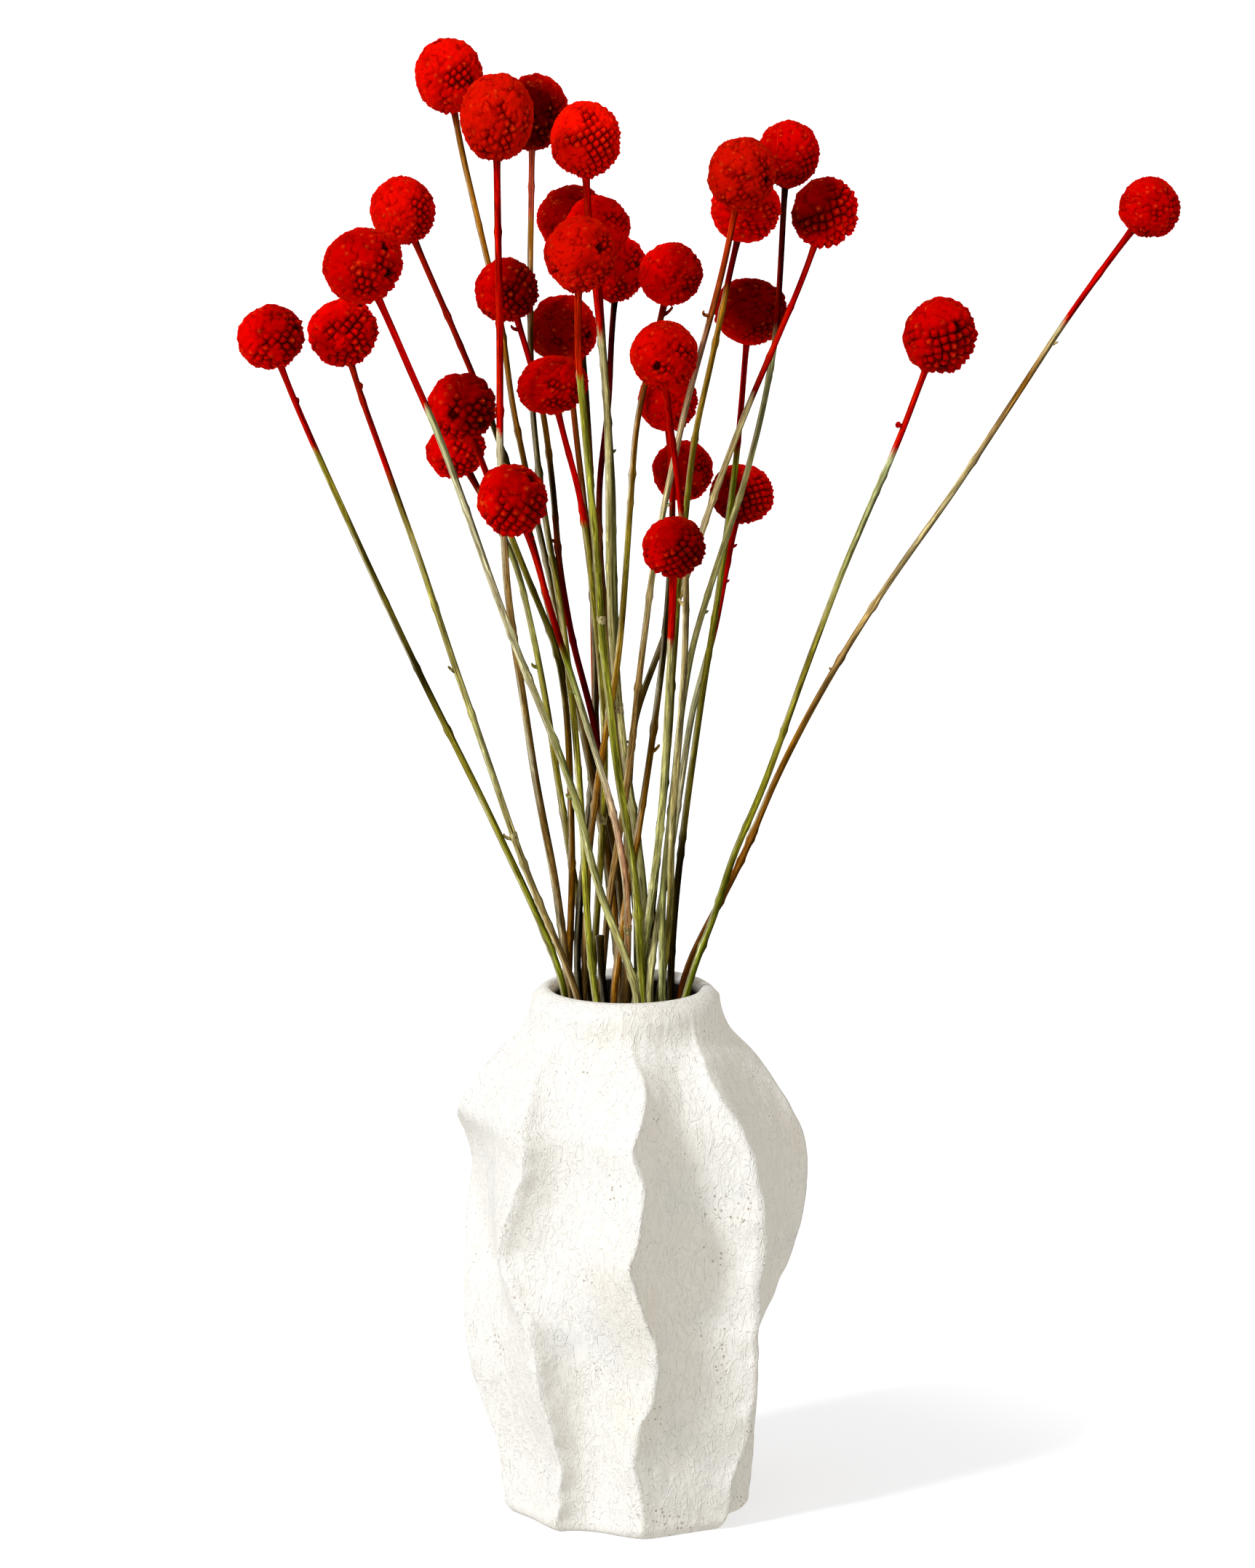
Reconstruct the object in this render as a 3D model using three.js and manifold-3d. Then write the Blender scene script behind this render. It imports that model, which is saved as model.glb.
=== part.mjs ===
// Dried billy buttons: 31 dyed flower heads on long bare stems, standing in a ridged clay vase.
// Millimetres, +Z up, with the front towards -Y. The origin is the middle of the vase's foot, on the
// surface that the vase stands on.
import * as THREE from "three";
import { ConvexHull } from "three/addons/math/ConvexHull.js";
import { mergeVertices } from "three/addons/utils/BufferGeometryUtils.js";
import Module from "manifold-3d";

// Driving dimensions of the vase
const VASE_HEIGHT = 208;
const FLOOR_HEIGHT = 12;
const MOUTH_RADIUS = 27;
const LIP_RADIUS = 31; // of the top of the lip, which rolls down on both sides of it
const LIP_INNER_RADIUS = 28.6;
const LIP_TURN_HEIGHT = 206.5;
// Outer radius at the crest of the ridges, as [height, radius]
const CREST_PROFILE = [
  [0, 47.5], [4, 48.5], [28, 51], [45, 55], [60, 58], [90, 63], [108, 65], [125, 66.5], [148, 66.5],
  [160, 65], [168, 61], [176, 55.5], [184, 48.5], [191, 41], [197, 38], [204, 36.5],
];
// How far the hollows between the ridges lie inside the crests, as [height, depth]
const GROOVE_PROFILE = [
  [0, 6.5], [28, 8.2], [60, 10.5], [140, 10.5], [165, 8.5], [180, 5.5], [192, 2], [200, 0], [204, 0],
];
// How far the whole wall leans to the right of the foot, as [height, shift]
const SWAY_PROFILE = [
  [0, 0], [28, -0.5], [45, -2], [60, -3.5], [75, -3], [90, -0.5], [108, 2.5], [125, 3.8], [140, 3.8],
  [150, 2.5], [160, -0.5], [176, -1], [190, 0], [208, 0],
];
// Radius of the hollow inside, as [height, radius]
const HOLLOW_PROFILE = [
  [FLOOR_HEIGHT, 28], [20, 29.5], [50, 33], [80, 37.5], [110, 40], [145, 41], [165, 40],
  [178, 35], [188, 29], [198, MOUTH_RADIUS], [203, MOUTH_RADIUS],
];
// Each ridge wanders sideways as it climbs. Angles in degrees round the vase, from the front towards
// the right, at heights that are RIDGE_STEP apart from the foot up.
const RIDGE_STEP = 16;
const RIDGES = [
  [-78, -76, -77, -79, -80, -82, -84, -97, -104, -102, -88, -84, -84],
  [-34, -30, -29, -30, -31, -34, -45, -52, -47, -40, -36, -40, -41],
  [8, 6, 4, 8, 14, 12, 5, -1, 1, 2, 3, 9, 3],
  [47, 48, 51, 51, 52, 50, 48, 46, 45, 45, 44, 41, 42],
  [82, 88, 97, 104, 108, 103, 98, 95, 93, 92, 90, 88, 88],
  [132, 128, 131, 139, 143, 139, 133, 136, 141, 143, 138, 132, 133],
  [178, 183, 186, 181, 175, 176, 182, 187, 184, 178, 177, 181, 180],
  [226, 223, 218, 216, 220, 227, 229, 224, 219, 221, 227, 229, 227],
];
// The groove to the right of each ridge: its depth as a share of the profile's, its skew, under 1 where
// it is deepest in its left half, and the power that makes its sides steep, the more so under 1
const GROOVES = [
  [1, 0.85, 0.8], [1.5, 0.75, 0.7], [1, 1.15, 0.55], [1.2, 1.1, 0.7], [1, 0.8, 0.8], [1.2, 1.1, 0.7],
  [1.1, 0.9, 0.8], [1, 0.8, 0.8],
];
// The depth share of the front groove changes as it climbs, at the same heights as the ridges
const FRONT_GROOVE = 2; // the number of the ridge on its left
const FRONT_DEPTHS = [0.8, 0.9, 1.05, 1.05, 1.05, 1.35, 1.95, 2.35, 2.2, 2.1, 2, 1.75, 1.75];
// How much further out than the profile some ridges reach, by their number, at the same heights
const RIDGE_REACHES = {
  2: [3, 3, 3.5, 4, 4.5, 5, 5.5, 6, 6, 5, 3.5, 1.5, 0],
  3: [3.5, 6, 8.5, 10.5, 10, 7.5, 5, 4, 3, 2, 1, 0, 0],
};
// Columns of the wall between one ridge and the next, as shares of the way across
const GROOVE_COLUMNS = [0, 0.1, 0.34, 0.64, 0.89];
// Heights of the rings of points on the wall, from the foot up, and in the hollow, from the lip down
const WALL_LEVELS = [0, 8, 16, 24, 32, 48, 64, 80, 96, 112, 128, 144, 160, 172, 182, 192, 201];
const HOLLOW_LEVELS = [201, 188, 174, 150, 80, 24, FLOOR_HEIGHT];

// Driving dimensions of the flowers
const STEM_FOOT_RADIUS = 1.6;
const STEM_TOP_RADIUS = 1.15;
const TAPER_HEIGHT = 450; // where a stem has come down to its top radius
const STEM_SIDES = 6;
const FLORETS = 60; // on each head
const FLORET_PEAK = 1.04; // shares of the head's radius
const FLORET_SEAM = 0.9;
const FLORET_VARIETY = 0.04;
const FLORET_JITTER = 0.09;
const SEAT_GAP = 0.3; // between a stem and the head or the floor that it meets
// Heights at which each stem's place is worked out, from the floor of the vase up
const LEVELS = [
  FLOOR_HEIGHT + SEAT_GAP, 60, 110, 160, 190, 202, 214, 240, 258, 285, 312, 340, 370, 400, 430, 460, 495,
];
const LAST_LEVEL_GAP = 12; // the least height between a stem's last level and its top
const LAST_PLACE_GAP = 4; // and between its last known place and its top

// How the stems find their places
const CLEARANCE = 0.5; // between stems, and between a stem and a head
const WALL_GAP = 0.4; // between a stem and the inside of the vase
const MOUTH_MARGIN = 8; // the height above the vase up to which a stem keeps within the mouth
const FOOT_REACH = 25; // of the feet from the middle of the floor
const SPIRAL = 0.9; // turn of the feet round the vase, in radians
const BUNCH_SPREAD = 1.1; // of the feet of a bunch from their middle, so that they run together
const SIDEWAYS_SHARE = 0.3; // of a stem's move aside, above the mouth
const ROUNDS = 800;
const SMOOTHED_ROUNDS = 600;
const SMOOTHING = 0.12; // the share by which a point's shift becomes its neighbours' mean, each round
const PULL_BACK = 0.02; // and the share of the shift that is undone
const STRAIGHTNESS = 0.22; // a ring of points is left out where the stem is straight within this

// One row per flower. head is the centre of the flower head and size its width and height. way holds
// the stem's sideways places as [x, z], from just below the head down. neck is its [x, y] in the
// mouth of the vase. Stems of one bunch are joined at the foot.
const FLOWERS = [
  { head: [-67, 12, 558], size: [26.5, 30], neck: [-2, 10],
    way: [[-65, 543], [-46, 463], [-42, 428], [-24, 345], [-6, 256]] },
  { head: [-48, -42, 549], size: [28, 34], neck: [-22, 4], girth: 1.15,
    way: [[-48, 532], [-47, 450], [-46, 380], [-36, 300], [-28, 253]] },
  { head: [-35, 35, 542], size: [26, 30.5], neck: [-12, -13],
    way: [[-36, 527], [-36, 430], [-29, 376], [-24, 351], [-18, 280]] },
  { head: [-15, -8, 536], size: [27, 30.5], neck: [8, 0], girth: 1.15,
    way: [[-16, 521], [-10, 470], [-7, 434], [-5, 339], [6, 250]] },
  { head: [-85, 30, 505], size: [25.5, 27], neck: [1, 5],
    way: [[-81, 494], [-58, 441], [-36, 380], [-22, 320], [-6, 270]] },
  { head: [-98, -45, 494], size: [30, 29.5], neck: [5, -16], girth: 1.1,
    way: [[-91, 479], [-69, 426], [-42, 347], [-21, 294], [-12, 257], [-6, 238]] },
  { head: [-134, -12, 462], size: [26, 25.5], neck: [-24.3, -4], bunch: "left",
    way: [[-131, 450], [-90, 356], [-49, 269]] },
  { head: [-108, 14, 460], size: [28, 27.5], neck: [-19, -10], bunch: "left",
    way: [[-105, 447], [-81, 380], [-59, 315], [-37, 250]] },
  { head: [-21, 66, 497], size: [28, 27], neck: [-3, 21],
    way: [[-20, 483], [-14, 414], [-11, 292]] },
  { head: [-11, 12, 500], size: [26, 26.5], neck: [4, 6],
    way: [[-11, 486], [-5, 404], [-4, 331], [2, 271]] },
  { head: [-17, -46, 498], size: [27.5, 29], neck: [8, -8], girth: 1.15,
    way: [[-18, 483], [-18, 460], [-12, 395], [-7, 328], [1, 270]] },
  { head: [-3, 40, 481], size: [24, 26.5], neck: [5, 9],
    way: [[-5, 468], [-6, 432], [-11, 392], [-8, 350], [0, 283]] },
  { head: [-45, 10, 477], size: [25.5, 26.5], neck: [-3, 14],
    way: [[-41, 465], [-38, 449], [-31, 429], [-23, 350], [-11, 301]] },
  { head: [-24, 42, 457], size: [27, 28], neck: [-19, 2],
    way: [[-22, 443], [-14, 373], [-11, 312], [-15, 260]] },
  { head: [-28, -8, 443], size: [28, 23], neck: [-13, 12],
    way: [[-26, 433], [-17, 400], [-9, 323], [-8, 292], [-10, 250]] },
  { head: [17, -18, 487], size: [24, 24.5], neck: [-17, 7],
    way: [[15, 475], [6, 430], [-1, 350], [-14, 266]] },
  { head: [14, -52, 461], size: [26, 27], neck: [14, 2],
    way: [[15, 447], [20, 410], [23, 376], [22, 334], [17, 269]] },
  { head: [16, -10, 437], size: [23.5, 24], neck: [-4, -7],
    way: [[16, 425], [18, 394], [14, 337], [5, 270]] },
  { head: [43, -52, 529], size: [25.5, 28], neck: [-9, 3],
    way: [[41, 515], [37, 494], [23, 441], [10, 374], [1, 292], [-6, 245]] },
  { head: [45, -24, 512], size: [27, 26], neck: [9, 4],
    way: [[42, 501], [35, 465], [28, 438], [19, 351], [17, 293]] },
  { head: [62, 25, 527], size: [24, 27], neck: [12.5, -6],
    way: [[60, 514], [58, 462], [47, 408], [26, 344], [21, 317], [15, 264]] },
  { head: [75, -8, 509], size: [25.5, 28.5], neck: [-1, 9],
    way: [[71, 494], [67, 482], [42, 424], [19, 355], [4, 316], [1, 286]] },
  { head: [48, 50, 463], size: [29, 26], neck: [16, 1], bunch: "back",
    way: [[46, 450], [43, 410], [33, 339], [27, 303]] },
  { head: [200, 25, 507], size: [25, 24], neck: [20.5, 3], bunch: "right",
    way: [[192, 497], [160, 452], [132, 407], [97, 358], [64, 301], [41, 249], [28, 226]] },
  { head: [119, -10, 463], size: [28.5, 29.5], neck: [24.8, -2], bunch: "right",
    way: [[113, 450], [108, 434], [79, 362], [50, 279], [39, 254], [37, 242]] },
  { head: [-62, -14, 435], size: [26.5, 28], neck: [-21, 9],
    way: [[-57, 421], [-40, 376], [-24, 334], [-20, 269]] },
  { head: [-65, 32, 412], size: [24, 22.5], neck: [-15.5, 8],
    way: [[-59, 402], [-44, 376], [-35, 338], [-29, 306], [-24, 269], [-19, 244]] },
  { head: [-42, -56, 407], size: [26.5, 29], neck: [0, -2],
    way: [[-35, 394], [-32, 377], [-17, 325], [-2, 271], [1, 241]] },
  { head: [22, 36, 403], size: [24, 24], neck: [8, 18],
    way: [[22, 390], [16, 290]] },
  { head: [45, 60, 390], size: [25.5, 23.5], neck: [8.5, -13], bunch: "back",
    way: [[42, 379], [31, 323], [23, 306], [20, 270], [15, 252]] },
  { head: [18, -66, 391], size: [24.5, 23], neck: [6, -3], girth: 1.1,
    way: [[18, 379], [14, 287]] },
];
// A stem that has lost its head, cut off a little above the mouth of the vase
const CUT_STEM = { top: [-10, -6, 229], way: [], neck: [-9, -7], bunch: "left" };
const BUNCHES = ["left", "back", "right"];

const COLOURS = {
  clay: { color: 0xe9e5dd, roughness: 0.85, metalness: 0 },
  head: { color: 0xc41205, roughness: 0.8, metalness: 0 },
  stem: { color: 0x8c8753, roughness: 0.7, metalness: 0 },
};

const wasm = await Module();
wasm.setup();
const degrees = Math.PI / 180;

// A seeded random number from 0 to 1
function seeded(seed) {
  let state = seed * 2654435761;
  return () => {
    state = (state + 0x6d2b79f5) | 0;
    let mixed = Math.imul(state ^ (state >>> 15), 1 | state);
    mixed = (mixed + Math.imul(mixed ^ (mixed >>> 7), 61 | mixed)) ^ mixed;
    return ((mixed ^ (mixed >>> 14)) >>> 0) / 4294967296;
  };
}

// The smooth curve through points [at, value, ...], read at a place along it, as a list of values
function along(points, at) {
  const last = points.length - 1;
  let i = 0;
  while (i < last - 1 && at > points[i + 1][0]) i++;
  const [from, to] = [points[i], points[i + 1]];
  const before = points[Math.max(i - 1, 0)];
  const after = points[Math.min(i + 2, last)];
  const span = to[0] - from[0];
  const t = THREE.MathUtils.clamp((at - from[0]) / span, 0, 1);
  return from.slice(1).map((value, n) => {
    const startSlope = ((to[n + 1] - before[n + 1]) / (to[0] - before[0])) * span;
    const endSlope = ((after[n + 1] - value) / (after[0] - from[0])) * span;
    const rise = to[n + 1] - value;
    const squared = 3 * rise - 2 * startSlope - endSlope;
    const cubed = startSlope + endSlope - 2 * rise;
    return value + t * (startSlope + t * (squared + t * cubed));
  });
}

// A closed surface from rings of points that share their number of sides: a lid closes each end
function closedRings(rings) {
  const sides = rings[0].length;
  const index = [];
  for (let row = 0; row < rings.length - 1; row++)
    for (let side = 0; side < sides; side++) {
      const [a, b] = [row * sides + side, row * sides + ((side + 1) % sides)];
      index.push(a, b, b + sides, a, b + sides, a + sides);
    }
  const top = (rings.length - 1) * sides;
  for (let side = 1; side < sides - 1; side++) {
    index.push(0, side + 1, side);
    index.push(top, top + side, top + side + 1);
  }
  const geometry = new THREE.BufferGeometry().setFromPoints(rings.flat());
  return geometry.setIndex(index);
}

// Solids joined into one, through the boolean library
function joined(geometries) {
  const solids = geometries.map((geometry) => {
    const vertProperties = geometry.attributes.position.array;
    const triVerts = new Uint32Array(geometry.index.array);
    return new wasm.Manifold(new wasm.Mesh({ numProp: 3, vertProperties, triVerts }));
  });
  const made = solids.reduce((sum, solid) => sum.add(solid)).getMesh();
  const geometry = new THREE.BufferGeometry();
  geometry.setAttribute("position", new THREE.BufferAttribute(made.vertProperties, 3));
  return geometry.setIndex(new THREE.BufferAttribute(made.triVerts, 1));
}

function mesh(name, geometry, colour) {
  geometry.computeVertexNormals();
  const material = new THREE.MeshStandardMaterial({ ...COLOURS[colour], flatShading: true });
  const made = new THREE.Mesh(geometry, material);
  made.name = name;
  return made;
}

// What a list with one value for each RIDGE_STEP of height gives at a height
const byHeight = (values, z) => along(values.map((value, n) => [n * RIDGE_STEP, value]), z)[0];

const ridgeReach = (n, z) => (n in RIDGE_REACHES ? byHeight(RIDGE_REACHES[n], z) : 0);

// A ring of points round the vase, with the grooves between the ridges and the sway that it is given
function vaseRing(z, radius, groove = 0, sway = 0) {
  return RIDGES.flatMap((ridge, n) => {
    const next = RIDGES[(n + 1) % RIDGES.length];
    const from = byHeight(ridge, z);
    const to = byHeight(next, z) + (n + 1 === RIDGES.length ? 360 : 0);
    const [share, skew, power] = GROOVES[n];
    const depth = groove * share * (n === FRONT_GROOVE ? byHeight(FRONT_DEPTHS, z) : 1);
    const [reachFrom, reachTo] = groove > 0 ? [ridgeReach(n, z), ridgeReach(n + 1, z)] : [0, 0];
    return GROOVE_COLUMNS.map((t) => {
      const angle = (from + (to - from) * t) * degrees;
      const crest = radius + reachFrom + (reachTo - reachFrom) * t;
      const r = crest - depth * Math.sin(Math.PI * t ** skew) ** power;
      return new THREE.Vector3(r * Math.sin(angle) + sway, -r * Math.cos(angle), z);
    });
  });
}

// The vase: ridges climb its outer wall, and one skin runs over the lip and down the plain hollow
function vase() {
  const outside = WALL_LEVELS.map((z) => {
    const [[crest], [groove], [sway]] = [CREST_PROFILE, GROOVE_PROFILE, SWAY_PROFILE].map((p) => along(p, z));
    return vaseRing(z, crest, groove, sway);
  });
  const shoulder = along(CREST_PROFILE, VASE_HEIGHT)[0];
  const lip = [
    vaseRing(LIP_TURN_HEIGHT, (LIP_RADIUS + shoulder) / 2),
    vaseRing(VASE_HEIGHT, LIP_RADIUS),
    vaseRing(LIP_TURN_HEIGHT, LIP_INNER_RADIUS),
  ];
  const inside = HOLLOW_LEVELS.map((z) => vaseRing(z, along(HOLLOW_PROFILE, z)[0]));
  return mesh("vase", closedRings([...outside, ...lip, ...inside]), "clay");
}

// The places that a stem passes, as [z, x, y] from the floor of the vase to its top. It leans on the
// mouth, so its foot stands on the other side of the floor, turned a little as in a spiral bunch.
function route({ top, way, neck }) {
  const depth = (z) => THREE.MathUtils.mapLinear(z, VASE_HEIGHT, top.z, neck[1], top.y);
  const above = [...way.map(([x, z]) => [z, x, depth(z)]), [top.z, top.x, top.y]].sort((a, b) => a[0] - b[0]);
  const [z, x, y] = above[0];
  const drop = (VASE_HEIGHT - FLOOR_HEIGHT) / (z - VASE_HEIGHT);
  const foot = new THREE.Vector2(neck[0] - (x - neck[0]) * drop, neck[1] - (y - neck[1]) * drop);
  foot.clampLength(0, FOOT_REACH).rotateAround(new THREE.Vector2(), SPIRAL);
  return [[FLOOR_HEIGHT + SEAT_GAP, foot.x, foot.y], [VASE_HEIGHT, ...neck], ...above];
}

// A stem, with its points at the levels that it passes and at its top, which stays where it is
function stemOf({ top, way, neck, bunch, girth = 1 }) {
  const places = route({ top, way, neck });
  const levels = [...LEVELS.filter((z) => z < top.z - LAST_LEVEL_GAP), top.z];
  const points = levels.map((z) => new THREE.Vector3(...along(places, z), z));
  const { lerp } = THREE.MathUtils;
  const radius = (z) => girth * lerp(STEM_FOOT_RADIUS, STEM_TOP_RADIUS, Math.min(z / TAPER_HEIGHT, 1));
  return { bunch, radius, points };
}

// Shifts the two ends of a stem's length k so that the place at t along it moves by x and y. Above the
// mouth a stem gives way in depth more than sideways.
function shift({ points }, k, t, x, y) {
  const share = (1 - t) ** 2 + t ** 2;
  for (const [n, weight] of [[k, (1 - t) / share], [k + 1, t / share]]) {
    if (n === points.length - 1) continue;
    points[n].x += x * weight * (points[n].z > VASE_HEIGHT ? SIDEWAYS_SHARE : 1);
    points[n].y += y * weight;
  }
}

// Parts two stems where they pass too close between one level and the next
function part(one, other) {
  const [a, b] = [one.points, other.points];
  for (let k = 0; k < Math.min(a.length, b.length) - 1; k++) {
    const oneFoot = k === 0 && one.bunch && one.bunch === other.bunch;
    if (oneFoot || a[k + 1].z !== b[k + 1].z) continue;
    const from = b[k].clone().sub(a[k]);
    const turn = b[k + 1].clone().sub(a[k + 1]).sub(from);
    const t = THREE.MathUtils.clamp(-from.dot(turn) / Math.max(turn.lengthSq(), 1e-9), 0, 1);
    const away = from.addScaledVector(turn, t);
    const lean = Math.max(a[k].distanceTo(a[k + 1]), b[k].distanceTo(b[k + 1])) / (a[k + 1].z - a[k].z);
    const short = (one.radius(a[k].z) + other.radius(a[k].z) + CLEARANCE) * lean - away.length();
    if (short <= 0) continue;
    away.setLength(short / 2);
    shift(one, k, t, -away.x, -away.y);
    shift(other, k, t, away.x, away.y);
  }
}

// Bends a stem round a head that isn't its own
function clear(stem, head) {
  const { points } = stem;
  const near = new THREE.Vector3();
  for (let k = 0; k < points.length - 1; k++) {
    new THREE.Line3(points[k], points[k + 1]).closestPointToPoint(head.centre, true, near);
    const away = near.clone().sub(head.centre);
    const short = head.reach + stem.radius(near.z) + CLEARANCE - away.length();
    if (short <= 0) continue;
    away.setLength(short);
    shift(stem, k, (near.z - points[k].z) / (points[k + 1].z - points[k].z), away.x, away.y);
  }
}

// Keeps a stem inside the vase
function contain({ points, radius }) {
  for (const point of points) {
    if (point.z > VASE_HEIGHT + MOUTH_MARGIN) break;
    const room = along(HOLLOW_PROFILE, point.z)[0] - radius(point.z) - WALL_GAP;
    const out = Math.hypot(point.x, point.y);
    if (out > room) point.set((point.x * room) / out, (point.y * room) / out, point.z);
  }
}

// Lets the stems find their places: each lies clear of the others, of the heads and of the vase, and
// the feet of a bunch come together. Early rounds also spread each shift along the stem, so it stays
// one smooth bow, and draw it back towards its first place.
function settle(stems, heads) {
  const starts = stems.map(({ points }) => points.map((point) => point.clone()));
  for (let round = 0; round < ROUNDS; round++) {
    stems.forEach((stem, i) => {
      for (const other of stems.slice(i + 1)) part(stem, other);
      for (const head of heads) if (head.stem !== stem) clear(stem, head);
      contain(stem);
    });
    for (const bunch of BUNCHES) {
      const feet = stems.filter((stem) => stem.bunch === bunch).map(({ points }) => points[0]);
      const middle = feet.reduce((sum, foot) => sum.add(foot), new THREE.Vector3()).divideScalar(feet.length);
      for (const foot of feet) foot.sub(middle).clampLength(0, BUNCH_SPREAD).add(middle);
    }
    if (round > SMOOTHED_ROUNDS) continue;
    stems.forEach(({ points }, i) => {
      const moved = points.map((point, k) => point.clone().sub(starts[i][k]));
      for (let k = 1; k < points.length - 1; k++) {
        const around = moved[k - 1].clone().add(moved[k + 1]).divideScalar(2);
        points[k].addScaledVector(around.sub(moved[k]), SMOOTHING).addScaledVector(moved[k], -PULL_BACK);
      }
    });
  }
}

// The points that a stem's shape needs: one within the tolerance of a straight line is left out
function needed(points, tolerance) {
  const kept = [points[0]];
  for (let k = 1; k < points.length - 1; k++) {
    const from = kept[kept.length - 1];
    const line = new THREE.Line3(from, points[k + 1]);
    const between = points.slice(points.indexOf(from) + 1, k + 1);
    const off = (point) => line.closestPointToPoint(point, true, new THREE.Vector3()).distanceTo(point);
    if (between.some((point) => off(point) > tolerance)) kept.push(points[k]);
  }
  return [...kept, points[points.length - 1]];
}

function stemGeometry({ points: all, radius }) {
  const points = needed(all, STRAIGHTNESS);
  const rings = points.map((point, k) => {
    const [below, above] = [points[Math.max(k - 1, 0)], points[Math.min(k + 1, points.length - 1)]];
    const tangent = above.clone().sub(below).normalize();
    const across = new THREE.Vector3(1, 0, 0).addScaledVector(tangent, -tangent.x).normalize();
    const through = tangent.clone().cross(across);
    return Array.from({ length: STEM_SIDES }, (_, side) => {
      const angle = (side / STEM_SIDES) * 2 * Math.PI;
      const out = across.clone().multiplyScalar(Math.cos(angle)).addScaledVector(through, Math.sin(angle));
      if (k === 0) out.setZ(0); // the foot is cut level, to stand on the floor
      return out.multiplyScalar(radius(point.z)).add(point);
    });
  });
  return closedRings(rings);
}

// A flower head: florets spread evenly over a ball, each raised to a point above the seams between
// it and its neighbours. The lowest is sunk flat, where the stem meets the head.
function headGeometry([width, height], seed) {
  const random = seeded(seed);
  const goldenAngle = Math.PI * (3 - Math.sqrt(5));
  const last = FLORETS - 1;
  const reach = new Map();
  for (let n = 0; n < FLORETS; n++) {
    const z = 1 - (2 * n) / last;
    const r = Math.sqrt(Math.max(0, 1 - z * z));
    const centre = new THREE.Vector3(r * Math.cos(n * goldenAngle), r * Math.sin(n * goldenAngle), z);
    const wander = new THREE.Vector3(random() - 0.5, random() - 0.5, random() - 0.5);
    if (n < last) centre.addScaledVector(wander, 2 * FLORET_JITTER).normalize();
    reach.set(centre, n < last ? FLORET_PEAK - FLORET_VARIETY * random() : FLORET_SEAM);
  }
  const stretch = new THREE.Vector3(width / 2, width / 2, height / 2);
  const corners = [];
  for (const face of new ConvexHull().setFromPoints([...reach.keys()]).faces) {
    let edge = face.edge;
    do {
      const apex = edge.tail().point;
      const seam = [edge.twin.face.normal, face.normal].map((way) => way.clone().multiplyScalar(FLORET_SEAM));
      corners.push(apex.clone().multiplyScalar(reach.get(apex)), ...seam);
      edge = edge.next;
    } while (edge !== face.edge);
  }
  corners.forEach((corner) => corner.multiply(stretch));
  return mergeVertices(new THREE.BufferGeometry().setFromPoints(corners), 1e-3);
}

// How far a head's flat seat for the stem lies from its centre
const seatDrop = ([, height]) => (height / 2) * FLORET_SEAM;

function build() {
  const heads = [];
  const stems = FLOWERS.map((flower) => {
    const centre = new THREE.Vector3(...flower.head);
    const [x, z] = flower.way[0];
    const y = THREE.MathUtils.mapLinear(z, VASE_HEIGHT, centre.z, flower.neck[1], centre.y);
    const axis = centre.clone().sub(new THREE.Vector3(x, y, z)).normalize();
    const top = centre.clone().addScaledVector(axis, -seatDrop(flower.size) - SEAT_GAP);
    const way = flower.way.filter((place) => place[1] < top.z - LAST_PLACE_GAP);
    const stem = stemOf({ ...flower, top, way });
    const reach = (Math.max(...flower.size) / 2) * FLORET_PEAK;
    heads.push({ size: flower.size, centre, axis, stem, reach });
    return stem;
  });
  stems.push(stemOf({ ...CUT_STEM, top: new THREE.Vector3(...CUT_STEM.top) }));
  settle(stems, heads);

  const group = new THREE.Group();
  group.add(vase());
  heads.forEach(({ size, centre, axis, stem }, n) => {
    const number = String(n + 1).padStart(2, "0");
    const head = mesh(`flower_head_${number}`, headGeometry(size, n + 1), "head");
    head.position.copy(centre);
    head.quaternion.setFromUnitVectors(new THREE.Vector3(0, 0, 1), axis);
    group.add(head);
    if (!stem.bunch) group.add(mesh(`stem_${number}`, stemGeometry(stem), "stem"));
  });
  for (const bunch of BUNCHES) {
    const members = stems.filter((stem) => stem.bunch === bunch);
    group.add(mesh(`stems_${bunch}`, joined(members.map(stemGeometry)), "stem"));
  }
  return group;
}

export default build();
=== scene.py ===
"""Dried billy buttons, dyed red, in a ridged clay vase, on a white floor in soft light from the left.

Lengths and places are in millimetres here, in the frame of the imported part, and each mesh is scaled
to metres as it is made. Colours are written as sRGB hex values.
"""
import math
import random

import bmesh
import bpy
import numpy as np
from mathutils import Euler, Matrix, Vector, noise


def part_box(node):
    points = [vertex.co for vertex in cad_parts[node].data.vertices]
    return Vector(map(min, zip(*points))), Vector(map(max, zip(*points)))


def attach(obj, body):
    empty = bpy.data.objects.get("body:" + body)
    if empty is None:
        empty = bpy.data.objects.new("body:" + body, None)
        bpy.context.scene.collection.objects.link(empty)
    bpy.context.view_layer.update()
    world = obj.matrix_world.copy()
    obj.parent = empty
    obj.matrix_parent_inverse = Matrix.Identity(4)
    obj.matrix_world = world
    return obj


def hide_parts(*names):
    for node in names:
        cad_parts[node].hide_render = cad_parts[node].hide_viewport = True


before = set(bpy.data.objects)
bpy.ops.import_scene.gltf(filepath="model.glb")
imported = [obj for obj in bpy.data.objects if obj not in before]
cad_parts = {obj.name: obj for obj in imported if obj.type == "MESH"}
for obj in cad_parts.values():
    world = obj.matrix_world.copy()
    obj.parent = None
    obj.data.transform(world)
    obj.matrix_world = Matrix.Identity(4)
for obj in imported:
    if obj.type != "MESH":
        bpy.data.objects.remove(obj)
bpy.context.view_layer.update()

METRES = 0.001
NOISE_SEED = 1  # without it, vector noise differs from run to run

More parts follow.
